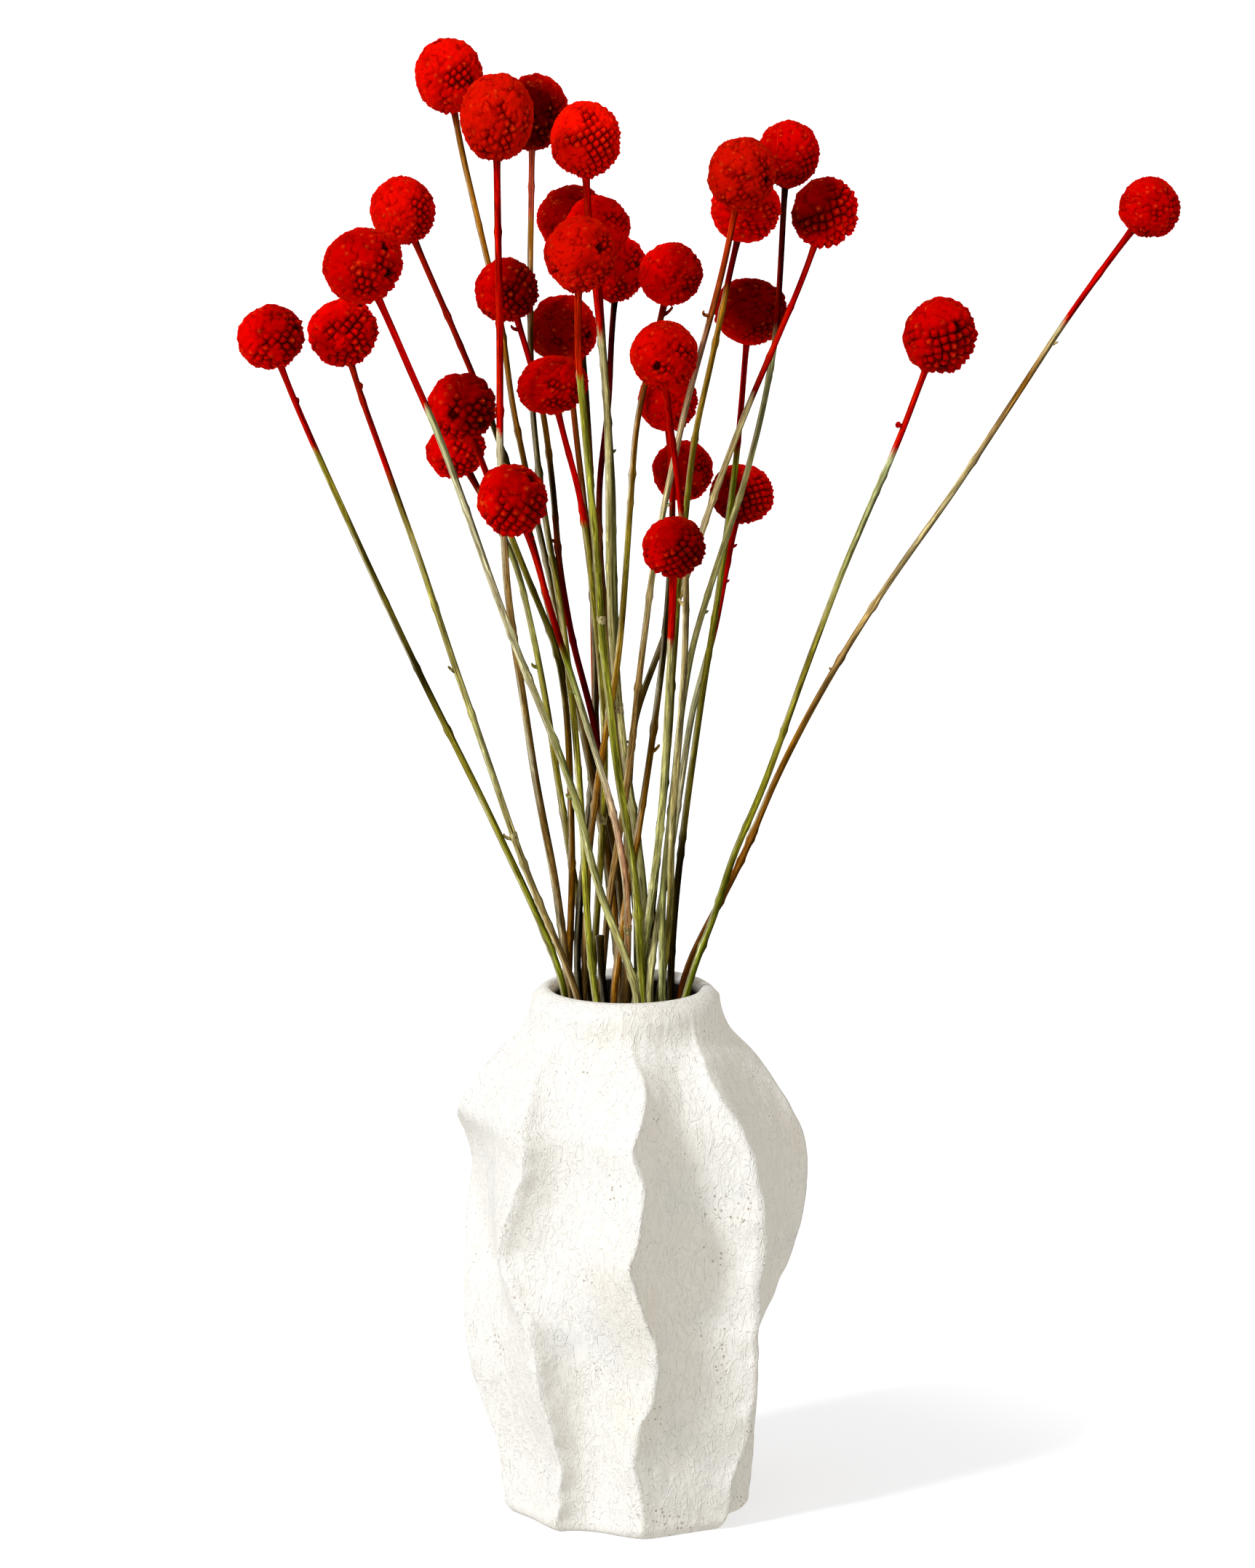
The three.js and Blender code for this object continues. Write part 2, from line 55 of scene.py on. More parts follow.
# The photograph's camera
IMAGE_HEIGHT = 2156
FOCAL_PIXELS = 10965
SENSOR = 36
CAMERA_PLACE = (0, -3000, 900)
CAMERA_PITCH = 11.542  # degrees down
CAMERA_YAW = 0.013  # degrees to the right

# The vase, as the part has it
VASE_HEIGHT = 208
FLOOR_HEIGHT = 12
LIP_BASE_HEIGHT = 201
# The outer radius at the crest of the ridges, as (height, radius)
CREST_PROFILE = [
    (0, 47.5), (4, 48.5), (28, 51), (45, 55), (60, 58), (90, 63), (108, 65), (125, 66.5), (148, 66.5),
    (160, 65), (168, 61), (176, 55.5), (184, 48.5), (191, 41), (197, 38), (204, 36.5),
]
# How deep the grooves are, as (height, depth)
GROOVE_PROFILE = [
    (0, 6.5), (28, 8.2), (60, 10.5), (140, 10.5), (165, 8.5), (180, 5.5), (192, 2), (200, 0), (204, 0),
]
# How far the vase leans to the right, as (height, way)
SWAY_PROFILE = [
    (0, 0), (28, -0.5), (45, -2), (60, -3.5), (75, -3), (90, -0.5), (108, 2.5), (125, 3.8), (140, 3.8),
    (150, 2.5), (160, -0.5), (176, -1), (190, 0), (208, 0),
]
# The radius of the hollow, as (height, radius)
HOLLOW_PROFILE = [
    (12, 28), (20, 29.5), (50, 33), (80, 37.5), (110, 40), (145, 41), (165, 40), (178, 35), (188, 29),
    (198, 27), (203, 27),
]
HOLLOW_LEVELS = (201, 196, 188, 180, 174, 165, 150, 120, 80, 50, 24, FLOOR_HEIGHT)
# The rolled lip, from its outside over its top to the mouth, as (height, radius)
LIP_PROFILE = (
    (204, 36.3), (206.5, 33.95), (207.6, 32.3), (VASE_HEIGHT, 30.4), (207.5, 29.4), (206, 28.2), (204, 27.4),
)
# The directions of each ridge as it climbs, in degrees from the front towards the right
RIDGE_STEP = 16
RIDGES = [
    (-78, -76, -77, -79, -80, -82, -84, -97, -104, -102, -88, -84, -84),
    (-34, -30, -29, -30, -31, -34, -45, -52, -47, -40, -36, -40, -41),
    (8, 6, 4, 8, 14, 12, 5, -1, 1, 2, 3, 9, 3),
    (47, 48, 51, 51, 52, 50, 48, 46, 45, 45, 44, 41, 42),
    (82, 88, 97, 104, 108, 103, 98, 95, 93, 92, 90, 88, 88),
    (132, 128, 131, 139, 143, 139, 133, 136, 141, 143, 138, 132, 133),
    (178, 183, 186, 181, 175, 176, 182, 187, 184, 178, 177, 181, 180),
    (226, 223, 218, 216, 220, 227, 229, 224, 219, 221, 227, 229, 227),
]
# The groove to the right of each ridge: its depth as a share of the usual, where it is deepest (before
# or after its middle for a skew under or over 1) and how steep its sides are (steeper for less)
GROOVES = (
    (1, 0.85, 0.8), (1.5, 0.75, 0.7), (1, 1.15, 0.55), (1.2, 1.1, 0.7), (1, 0.8, 0.8), (1.2, 1.1, 0.7),
    (1.1, 0.9, 0.8), (1, 0.8, 0.8),
)
# The depth share of the front groove changes as it climbs, at the same heights as the ridges
FRONT_GROOVE = 2  # the number of the ridge on its left
FRONT_DEPTHS = (0.8, 0.9, 1.05, 1.05, 1.05, 1.35, 1.95, 2.35, 2.2, 2.1, 2, 1.75, 1.75)
# How much further out than the profile some ridges reach, by their number, at the same heights
RIDGE_REACHES = {
    2: (3, 3, 3.5, 4, 4.5, 5, 5.5, 6, 6, 5, 3.5, 1.5, 0),
    3: (3.5, 6, 8.5, 10.5, 10, 7.5, 5, 4, 3, 2, 1, 0, 0),
}
CREST_KINK = 2.4  # degrees that a crest strays from its way in short kinks
CREST_KINK_LENGTH = 9
CREST_WIDTH = 0.07  # of the kinks, as a share of the way to the next ridge
CREST_NOISE_STEP = 7.7  # keeps the kinks of one crest unlike those of the next
CREST_ROUNDING = 0.19  # how blunt the crests are, as a share of the groove's depth
FOOT_CREST_ROUNDING = 0.5  # more of it at the foot
FOOT_CREST_HEIGHT = 7
FOOT_EDGE = 2.4  # how far the foot's edge is rounded off
FOOT_EDGE_HEIGHT = 5
UNEVEN_HEIGHT = 4  # the wall is smooth at the foot and fully uneven from here up
# How the wall strays from its form, as (how far, how many times round, how high one stray is, push out)
WALL_STRAYS = ((0.55, 4.2, 22, -0.35), (0.3, 14, 9, 0))
VASE_COLUMNS = 36  # from one ridge to the next
WALL_RING_GAP = 1.5

# The flowers
BUNCHES = {"stems_left": (7, 8), "stems_back": (23, 30), "stems_right": (24, 25)}
FLOWER_COUNT = 31
CUT_STEM_TOP = (-10, -6, 229)
CUT_STEM_NODE = "stems_left"
FLORETS = 285
PACKING = 0.866  # the share of a square that a floret takes up, as florets stand in threes
# Measures on a head are shares of its radius
FLORET_ROUNDNESS = 0.56  # radius of a floret's dome, as a share of the distance between florets
FLORET_NUB = 0.022  # height of the point on a floret
FLORET_JITTER = 0.05
ROWED_HEADS = {1: 0.02, 4: 0.012, 28: 0.025, 31: 0.02}  # their jitter: the florets stand in clear rows
NUB_SHARE = 0.15  # of the way from a floret's middle to its edge
SKIRT_SHARE = 0.66
BOLD_SIDE = (0.72, -0.3, -0.62)  # where the florets of a head stand apart most
BOLD_SPREAD = 1.9  # how quickly that changes over a head
SMOOTH_RELIEF = 0.2  # how strongly florets stand out where they are packed
BOLD_RELIEF = 1.1  # and how much more where they stand apart
FOLD_SPREAD = 3.1  # how close the folds wind
FOLD_WIDTH = 0.07
FOLD_DEPTH = 0.042
LUMPS = ((0.045, 1.4), (0.04, 3.6))  # the heads' uneven form, as (height, how many)
PIT_CHANCE = 0.003  # for a floret to be missing where they are packed
BOLD_PIT_CHANCE = 0.025  # and where they stand apart
# painted shade in the hollow of a missing floret, as the share of light that is left
PIT_PAINTED_SHADE = 0.15
PAINTED_GLINT_CHANCE = 0.16  # for the point of a floret to carry a painted glint
RIM_PAINTED_GLINT = 0.15  # how bright the painted glint is at the foot of such a point, as a share
PACKED_SMOOTHNESS = 0.62  # of most heads
BEADED_SMOOTHNESS = 0.15  # of the heads below
# Heads with fewer, larger florets, which stand apart over most of the head
BEADED_HEADS = {
    4: 270, 7: 185, 8: 200, 13: 225, 22: 200, 25: 200, 26: 180, 27: 200, 28: 185, 30: 220, 31: 210,
}
HEAD_RED = "e00100"
HEAD_ORANGE = "de1402"
HEAD_PAINTED_SHADE = "400000"
USUAL_PAINTED_SHADE = (0.12, (0.5, -0.3, -0.8))  # the share and side of the painted shade on heads that aren't listed below
# How orange the dye of a head came out
ORANGE_HEADS = {1: 0.3, 2: 0.8, 4: 0.5, 5: 0.3, 11: 0.6, 17: 0.2, 19: 0.8}
# How strong its dyed colour is on its light side: partly painted light and shade, which makes a whole head
# lighter or darker (head 4 is lightened against the shadow that head 2 casts on it)
USUAL_DYE = 0.88
DYE_AND_PAINTED_LIGHT_STRENGTHS = {
    1: 1.03, 2: 0.86, 3: 0.76, 4: 1.32, 5: 0.98, 7: 0.94, 8: 1.06, 9: 1, 10: 0.96, 11: 0.79, 12: 1.15,
    13: 0.74, 14: 1, 15: 0.93, 16: 1.12, 17: 0.84, 18: 0.97, 19: 0.72, 20: 1.14, 21: 0.82, 22: 1.15, 24: 0.8,
    25: 0.72, 27: 1.16, 28: 0.83, 29: 1.08, 31: 0.7,
}
# Painted shade on one side of a head: how strong it is, and the direction of that side
PAINTED_SHADE_HEADS = {
    3: (0.95, (-0.3, -1, 0)), 6: (0.25, (0, -1, 0.3)), 7: (0.4, (1, -0.5, 0.5)), 8: (0.15, (0.5, -1, 0)),
    9: (0.65, (-0.1, -1, 0.4)), 10: (0.1, (0.5, -1, 0.3)), 11: (0.15, (1, -0.5, 0)),
    12: (0.35, (-0.5, -1, -0.2)), 13: (0.72, (1, -0.5, 0.3)), 14: (0.72, (-0.6, -1, 0.2)),
    15: (0.4, (0.2, -1, 0.2)), 16: (0.6, (1, -0.5, 0.3)), 17: (0.25, (1, -0.5, 0.5)), 18: (0.4, (0, -1, 0.6)),
    20: (0.3, (0, -1, 0.4)), 21: (0.5, (-0.5, -0.5, -1)), 22: (0.85, (-0.8, -0.6, 0.7)),
    23: (0.85, (0.5, -1, 0.6)), 26: (0.7, (0.9, -0.6, 0.4)), 27: (0.25, (0.5, -1, 0.3)),
    28: (0.45, (1, -0.6, 0.6)), 29: (0.65, (0.2, -1, 0.2)), 30: (0.75, (-0.8, -0.5, 0)),
    31: (0.65, (1, -0.6, 0.2)),
}

# The stems, as they are read from the part
LEVEL_GAP = 4.0  # between the levels at which a stem is cut to find its middle
LEAST_SECTION = 0.5  # square millimetres
SEAT_GAP = 0.3  # between a stem and the floor of the vase
JOINED_SHARE = 1.5  # a section this much larger than usual is of stems that run together
SECTION_SHAPE = 2.6  # the area of a six-sided section with a radius of 1
LINE_SMOOTHING = 8

# The stems, as they are made
STEM_END = 0.4  # how far under the middle of its head a stem ends, as a share of the head's height
STEM_SIDES = 14
STEM_RING_GAP = 1.6
HIDDEN_HEIGHT = 190  # the stems are out of sight below it
HIDDEN_RING_GAP = 12
SWAY_HEIGHT = 205  # above it the stems waver a little
STEM_SWAY = 0.4
STEM_SWAY_LENGTH = 38
KNOT_DISTANCE = 35
KNOT_SWELLS = (0.1, 0.38)
KNOT_LENGTH = 1.5
NECK_SWELL = 0.28  # a stem is thicker under its head
NECK_LENGTH = 9
TWIST_LENGTH = 90
RIBS = ((5, 0.055), (3, 0.03))  # round a stem, as (how many, height as a share of its radius)
GRAIN_LENGTH = 22
GRAIN_STEP = 7.3  # keeps the grain of one stem unlike that of the next
COLOUR_RAGGEDNESS = 1.6  # how far up and down the meeting of two colours strays
SHADE_LENGTH = 26  # of the painted shade and the painted light on the stems
SHADE_WANDER = 1.1
PAINTED_SHADE_DIRECTIONS = (-35, 10)  # the side of a stem with painted shade, in degrees from the right towards the back
PAINTED_SHADE_FROM, PAINTED_SHADE_SHARE = 0.25, 0.7
PAINTED_LIGHT_FROM, PAINTED_LIGHT_SHARE = 0.3, 0.6
DYED_PAINTED_LIGHT_SHARE = 0.5  # of that
SHADE_EDGE = 0.5
DYED_REDNESS = 3.5  # how many times more red than green dyed skin has

PALETTE = {
    "red": "cc0400",
    "orange": "cc2402",
    "wine": "700200",
    "rust": "96521e",
    "salmon": "c85a40",
    "pink_tan": "cc9470",
    "tan": "ae884c",
    "golden": "bc7e1e",
    "straw": "dccc90",
    "bone": "d8d0a6",
    "brown": "6e5018",
    "umber": "3a2e0c",
    "black": "140c06",
    "olive": "a2962e",
    "pale_olive": "cac47c",
    "grey_green": "acb068",
    "yellow_green": "b0b23a",
    "green": "86901e",
    "pale_green": "c4ca8c",
    # the colours of the painted light on the stems
    "painted_highlight": "e6deba",
    "painted_highlight_dyed": "e03a0c",
}
# The colours of each stem, from its head down, as (height, colour)
# The umber and black below a height of 300 on stems 9, 12, 14, 23 and 29, at the back, are painted shade deep
# in the bunch above the mouth
STEM_COLOURS = {
    1: [(545, "wine"), (528, "golden"), (430, "golden"), (400, "umber"), (300, "brown"), (208, "golden")],
    2: [(429, "red"), (427, "bone"), (380, "tan"), (300, "brown"), (208, "tan")],
    3: [(506, "salmon"), (500, "golden"), (430, "umber"), (330, "olive"), (208, "yellow_green")],
    4: [(466, "red"), (460, "pale_olive"), (300, "pale_olive"), (208, "grey_green")],
    5: [(494, "orange"), (441, "wine"), (430, "umber"), (300, "umber"), (208, "brown")],
    6: [(440, "red"), (438, "pale_green"), (370, "bone"), (300, "grey_green"), (208, "pale_olive")],
    7: [(420, "red"), (417, "olive"), (330, "umber"), (300, "olive"), (208, "green")],
    8: [(440, "orange"), (409, "red"), (400, "brown"), (380, "olive"), (300, "pale_olive"), (208, "tan")],
    9: [(483, "wine"), (440, "umber"), (350, "rust"), (300, "rust"), (260, "umber"), (208, "black")],
    10: [(470, "red"), (465, "umber"), (330, "grey_green"), (208, "grey_green")],
    11: [(453, "orange"), (450, "yellow_green"), (208, "yellow_green")],
    12: [(468, "black"), (440, "wine"), (400, "wine"), (330, "tan"), (260, "umber"), (208, "black")],
    13: [(449, "red"), (446, "golden"), (400, "umber"), (355, "wine"), (300, "wine"), (290, "brown")],
    14: [(443, "wine"), (420, "rust"), (300, "umber"), (208, "black")],
    15: [(390, "red"), (388, "olive"), (208, "olive")],
    16: [(475, "wine"), (440, "rust"), (420, "golden"), (380, "olive"), (300, "golden"), (208, "tan")],
    17: [(401, "red"), (398, "tan"), (330, "straw"), (208, "olive")],
    18: [(399, "red"), (392, "umber"), (330, "umber"), (240, "golden")],
    19: [(515, "orange"), (474, "rust"), (465, "pink_tan"), (400, "straw"), (330, "tan"), (208, "tan")],
    20: [(484, "wine"), (478, "golden"), (400, "olive"), (208, "umber")],
    21: [(514, "black"), (462, "wine"), (455, "pale_green"), (380, "pale_olive"), (208, "grey_green")],
    22: [(456, "red"), (440, "wine"), (436, "straw"), (360, "tan"), (330, "umber"), (208, "golden")],
    23: [(450, "red"), (412, "wine"), (405, "green"), (330, "olive"), (260, "umber"), (208, "umber")],
    24: [(465, "red"), (461, "straw"), (440, "golden"), (400, "straw"), (300, "golden"), (208, "rust")],
    25: [(419, "red"), (415, "pale_green"), (340, "olive"), (208, "green")],
    26: [(410, "red"), (400, "wine"), (395, "olive"), (330, "umber"), (208, "golden")],
    27: [(397, "wine"), (392, "grey_green"), (300, "olive"), (208, "umber")],
    28: [(367, "red"), (350, "wine"), (342, "green"), (300, "bone"), (270, "pink_tan"), (208, "tan")],
    29: [(390, "wine"), (360, "olive"), (290, "umber"), (208, "umber")],
    30: [(336, "red"), (333, "pale_green"), (280, "bone"), (208, "pale_olive")],
    31: [(354, "red"), (351, "pale_olive"), (208, "grey_green")],
    "cut": [(229, "umber"), (208, "black")],
}

# What grows from the side of a stem, as (out from the middle of the stem, up, radius)
SHOOT_SHAPES = {
    "barb": ((0, -0.4, 0.9), (1.3, 0, 0.7), (1.9, 0.4, 0.5), (2.3, 0.9, 0.15)),
    "twig": ((0, -0.6, 0.9), (1.4, 0.3, 0.75), (2.1, 1.0, 0.6), (2.7, 2.0, 0.55), (2.9, 2.6, 0.35)),
    "hook": ((0, -0.2, 0.9), (1.6, 0, 0.8), (2.5, 0.3, 0.7), (3.1, 1.1, 0.55), (3.0, 1.9, 0.35)),
    "bud": ((0, -0.2, 0.8), (1.6, 0, 0.9), (2.3, 0.3, 1.4), (3.2, 0.6, 1.2), (3.7, 0.8, 0.3)),
    "nub": ((0, -1.2, 0.9), (0.6, -0.5, 1.2), (1.0, 0.4, 1.1), (0.7, 1.2, 0.5)),
}
SHOOT_SIDES = 8
SHOOT_SIZES = (0.85, 1.15)
SHOOT_SHADES = (0.5, 0.9)
# The side shoots of each stem, as (kind, height, side), with 1 for the right
SHOOTS = {
    4: [("barb", 300, 1)],
    6: [("hook", 287, -1)],
    7: [("nub", 438, 1)],
    8: [("nub", 440, 1), ("twig", 331, -1), ("hook", 267, -1)],
    10: [("barb", 415, 1)],
    13: [("hook", 462, -1), ("barb", 380, -1)],
    16: [("twig", 472, 1), ("barb", 452, 1)],
    17: [("twig", 363, -1)],
    18: [("twig", 302, 1)],
    19: [("hook", 475, -1), ("barb", 401, 1)],
    21: [("barb", 353, 1)],
    22: [("barb", 303, -1)],
    24: [("barb", 455, 1), ("barb", 330, -1)],
    25: [("bud", 428, -1)],
    27: [("hook", 329, -1)],
    28: [("barb", 392, 1), ("barb", 330, -1)],
    30: [("barb", 371, 1), ("barb", 358, 1)],
}
# A papery ring round a stem where a leaf has dropped, as (up, out from the stem, raggedness)
RING_SHAPE = ((-2, -0.3, 0.3), (-1.2, 0.15, 0.5), (0.4, 0.25, 0.6), (1.6, 0.35, 1), (1.4, -0.4, 0.9))
RING_SIDES = 12
RING_EDGES = (-0.7, 1.0)
RING_SHADES = (0.4, 0.9)
RINGS = {4: [317, 225], 8: [267], 11: [356], 15: [272], 28: [232]}  # their heights on each stem

# Colours that the materials lay over the plain ones
CLAY_PLAIN = "efece5"
CLAY_GREY = "dfe0dd"
CLAY_WARM = "ece0cd"
CLAY_PIT = "94795c"
# the painted shade inside the hollow
CLAY_INSIDE_PAINTED_SHADE = "140d07"
FLORET_SEAM_PAINTED_SHADE = "260000"
FLORET_SKIRT_PAINTED_SHADE = "9a5050"
FLORET_PATCH = "a80000"
FLORET_PAINTED_HIGHLIGHT = "ee5a1c"
FLORET_PAINTED_GLINT = "ff6420"
STEM_STREAK = "8a7040"
STEM_LINE = "4a3410"
STEM_FLECK = (2.1, 2.2, 2.1, 1)  # brightens what is under it

# Light: azimuths from the camera towards the left, all angles in degrees
LIGHT_COLOUR = (0.95, 1.0, 1.08)
KEY_AZIMUTH = 48
KEY_ELEVATION = 36
KEY_SOFTNESS = 10
KEY_STRENGTH = 1.94
FILL_AZIMUTH = 30
FILL_ELEVATION = 45
FILL_SOFTNESS = 100
FILL_STRENGTH = 0.5
BOUNCE_ELEVATION = -50  # of the light that a white floor throws back
BOUNCE_SOFTNESS = 110
BOUNCE_STRENGTH = 0.28
AMBIENT = 0.62
AMBIENT_COLOUR = (1.0, 0.96, 0.88, 1)
FLOOR_COLOUR = "edf0f8"
FLOOR_WIDTH = 60  # metres
FLOOR_GLOW = 0.32
FLOOR_FADE = (0.15, 0.26, 0.12)  # the distances between which the floor's glow rises, and by how much


def linear(hex_colour):
    """The linear RGBA of an sRGB hex colour."""
    parts = [int(hex_colour[i : i + 2], 16) / 255 for i in (0, 2, 4)]
    return (*[c / 12.92 if c <= 0.04045 else ((c + 0.055) / 1.055) ** 2.4 for c in parts], 1)


def smooth_profile(points):
    """A function that reads the smooth curve through points (at, value), as the part's source does."""
    at = np.array([p[0] for p in points], float)
    value = np.array([p[1] for p in points], float)
    before = np.maximum(np.arange(len(at)) - 1, 0)
    after = np.minimum(np.arange(len(at)) + 1, len(at) - 1)
    slope = (value[after] - value[before]) / (at[after] - at[before])

    def read(place):
        place = np.clip(place, at[0], at[-1])
        i = np.clip(np.searchsorted(at, place, "right") - 1, 0, len(at) - 2)
        span = at[i + 1] - at[i]
        t = (place - at[i]) / span
        rise = value[i + 1] - value[i]
        start, end = slope[i] * span, slope[i + 1] * span
        return value[i] + t * (start + t * (3 * rise - 2 * start - end + t * (start + end - 2 * rise)))

    return read


def by_height(values):
    """A function that reads a list with one value for each RIDGE_STEP of height."""
    return smooth_profile([(n * RIDGE_STEP, value) for n, value in enumerate(values)])


def make_object(name, points, faces, material, attributes=()):
    """A smooth mesh object on the one body of the part, from points in millimetres."""
    mesh = bpy.data.meshes.new(name)
    mesh.from_pydata((np.asarray(points) * METRES).tolist(), [], faces)
    mesh.shade_smooth()
    for label, kind, values in attributes:
        attribute = mesh.attributes.new(label, kind, "POINT")
        field = {"FLOAT": "value", "FLOAT_VECTOR": "vector", "FLOAT_COLOR": "color"}[kind]
        attribute.data.foreach_set(field, np.asarray(values, np.float32).ravel())
    mesh.materials.append(material)
    made = bpy.data.objects.new(name, mesh)
    bpy.context.scene.collection.objects.link(made)
    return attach(made, "root")


class Shader:
    """A node material that is put together in few words."""

    def __init__(self, name, **sockets):
        self.material = bpy.data.materials.new(name)
        self.material.use_nodes = True
        self.tree = self.material.node_tree
        self.principled = self.tree.nodes["Principled BSDF"]
        for socket, value in sockets.items():
            self.principled.inputs[socket.replace("_", " ")].default_value = value

    def node(self, kind, inputs=(), output=0, **settings):
        """A new node with its inputs, by name or place, each a value or another node's output."""
        made = self.tree.nodes.new("ShaderNode" + kind)
        for setting, value in settings.items():
            setattr(made, setting, value)
        for socket, value in dict(inputs).items():
            if isinstance(value, bpy.types.NodeSocket):
                self.tree.links.new(value, made.inputs[socket])
            else:
                made.inputs[socket].default_value = value
        return made.outputs[output]

    def attribute(self, name, output="Fac"):
        return self.node("Attribute", attribute_name=name, output=output)

    def place(self):
        return self.node("TexCoord", output="Object")

    def stretched(self, vector, scale):
        return self.node("Mapping", {"Vector": vector, "Scale": scale})

    def noise(self, vector, scale, detail=2, roughness=0.5, distortion=0, output="Fac"):
        inputs = {
            "Vector": vector, "Scale": scale, "Detail": detail, "Roughness": roughness,
            "Distortion": distortion,
        }
        return self.node("TexNoise", inputs, output)

    def math(self, operation, first, second=0.0):
        return self.node("Math", {0: first, 1: second}, operation=operation)

    def fade(self, value, low, high, start=0.0, end=1.0):
        """Runs smoothly from start to end as the value goes from low to high."""
        inputs = {"Value": value, "From Min": low, "From Max": high, "To Min": start, "To Max": end}
        return self.node("MapRange", inputs, interpolation_type="SMOOTHSTEP")

    def mix(self, factor, first, second, blend="MIX"):
        inputs = {0: factor, 6: first, 7: second}
        return self.node("Mix", inputs, 2, data_type="RGBA", blend_type=blend)

    def bump(self, height, strength, distance, normal=None):
        inputs = {"Height": height, "Strength": strength, "Distance": distance * METRES}
        if normal:
            inputs["Normal"] = normal
        return self.node("Bump", inputs)

    def finish(self, **links):
        for socket, value in links.items():
            self.tree.links.new(value, self.principled.inputs[socket.replace("_", " ")])
        return self.material


def clay_material():
    """Unglazed clay: grey and warm patches, clusters of tiny pits, painted shade in the hollow, short strokes
    of the trowel and grit.
    """
    shader = Shader("clay", Roughness=0.9, Specular_IOR_Level=0.2)
    place = shader.place()
    patches = shader.fade(shader.noise(place, 24, 3, 0.6), 0.5, 0.72)
    colour = shader.mix(shader.math("MULTIPLY", patches, 0.5), linear(CLAY_PLAIN), linear(CLAY_GREY))
    warm = shader.fade(shader.noise(place, 17, 3, 0.6, output="Color"), 0.52, 0.75)
    colour = shader.mix(shader.math("MULTIPLY", warm, 0.45), colour, linear(CLAY_WARM))
    pit_size = shader.fade(shader.noise(place, 60, 1), 0.52, 0.72, 0.0, 0.22)
    pit = shader.node("TexVoronoi", {"Vector": place, "Scale": 420.0}, "Distance")
    pits = shader.math("LESS_THAN", pit, pit_size)
    colour = shader.mix(shader.math("MULTIPLY", pits, 0.6), colour, linear(CLAY_PIT))
    # painted shade: the hollow is painted near black
    colour = shader.mix(shader.attribute("inside"), colour, linear(CLAY_INSIDE_PAINTED_SHADE))
    lumps = shader.noise(place, 110, 2, 0.5, 0.6)
    normal = shader.bump(lumps, 0.5, 1.0)
    for scale, height, width in ((230, 0.55, 0.042), (390, 0.4, 0.06)):
        strokes = shader.noise(shader.stretched(place, (1, 1, 0.42)), scale, 1, 0.5, 1.1)
        strokes = shader.math("ABSOLUTE", shader.math("SUBTRACT", strokes, 0.5))
        strokes = shader.fade(strokes, 0.0, width, 1.0, 0.0)
        normal = shader.bump(strokes, 0.46, height, normal)
    grit = shader.noise(place, 700, 4, 0.7)
    normal = shader.bump(grit, 0.5, 0.35, normal)
    normal = shader.bump(shader.math("SUBTRACT", 1.0, pits), 0.6, 0.4, normal)
    return shader.finish(Base_Color=colour, Normal=normal)


def head_material():
    """Dyed florets: painted shade in the seams, darker patches, painted highlights along fine folds here and
    there, painted glints on some points, and fuzz.
    """
    shader = Shader(
        "dyed_florets", Roughness=0.7, Specular_IOR_Level=0.0,
        Sheen_Weight=0.3, Sheen_Roughness=0.35, Sheen_Tint=(1, 0.07, 0, 1),
    )
    place = shader.place()
    painted_light_share = shader.attribute("painted_light_share")
    # the dyed colour of the head, with painted light and shade in it
    dye_and_painted_light = shader.attribute("dye_and_painted_light", "Color")
    # painted shade: florets darken towards their feet and are darkest in the seams between them
    skirt = shader.mix(1.0, dye_and_painted_light, linear(FLORET_SKIRT_PAINTED_SHADE), "MULTIPLY")
    colour = shader.mix(shader.fade(painted_light_share, 0.0, 0.3), linear(FLORET_SEAM_PAINTED_SHADE), skirt)
    colour = shader.mix(shader.fade(painted_light_share, 0.2, 0.9), colour, dye_and_painted_light)
    patches = shader.fade(shader.noise(place, 120, 3, 0.6), 0.45, 0.7)
    colour = shader.mix(shader.math("MULTIPLY", patches, 0.45), colour, linear(FLORET_PATCH), "MULTIPLY")
    crease = shader.noise(place, 130, 1, 0.5, 1.4)
    crease = shader.math("ABSOLUTE", shader.math("SUBTRACT", crease, 0.5))
    fold = shader.fade(crease, 0.0, 0.03)
    # painted highlights: thin bright lines along some of the folds
    thin = shader.fade(crease, 0.0, 0.008, 1.0, 0.0)
    some = shader.fade(shader.noise(place, 95, 1, output="Color"), 0.54, 0.62)
    edges = shader.math("MULTIPLY", shader.math("MULTIPLY", thin, some), 0.5)
    colour = shader.mix(edges, colour, linear(FLORET_PAINTED_HIGHLIGHT))
    # painted glints on the points of some florets
    colour = shader.mix(shader.attribute("painted_glint"), colour, linear(FLORET_PAINTED_GLINT))
    normal = shader.bump(fold, 0.35, 0.5)
    fuzz = shader.noise(place, 1700, 2, 0.6)
    normal = shader.bump(fuzz, 0.5, 0.15, normal)
    return shader.finish(Base_Color=colour, Normal=normal)


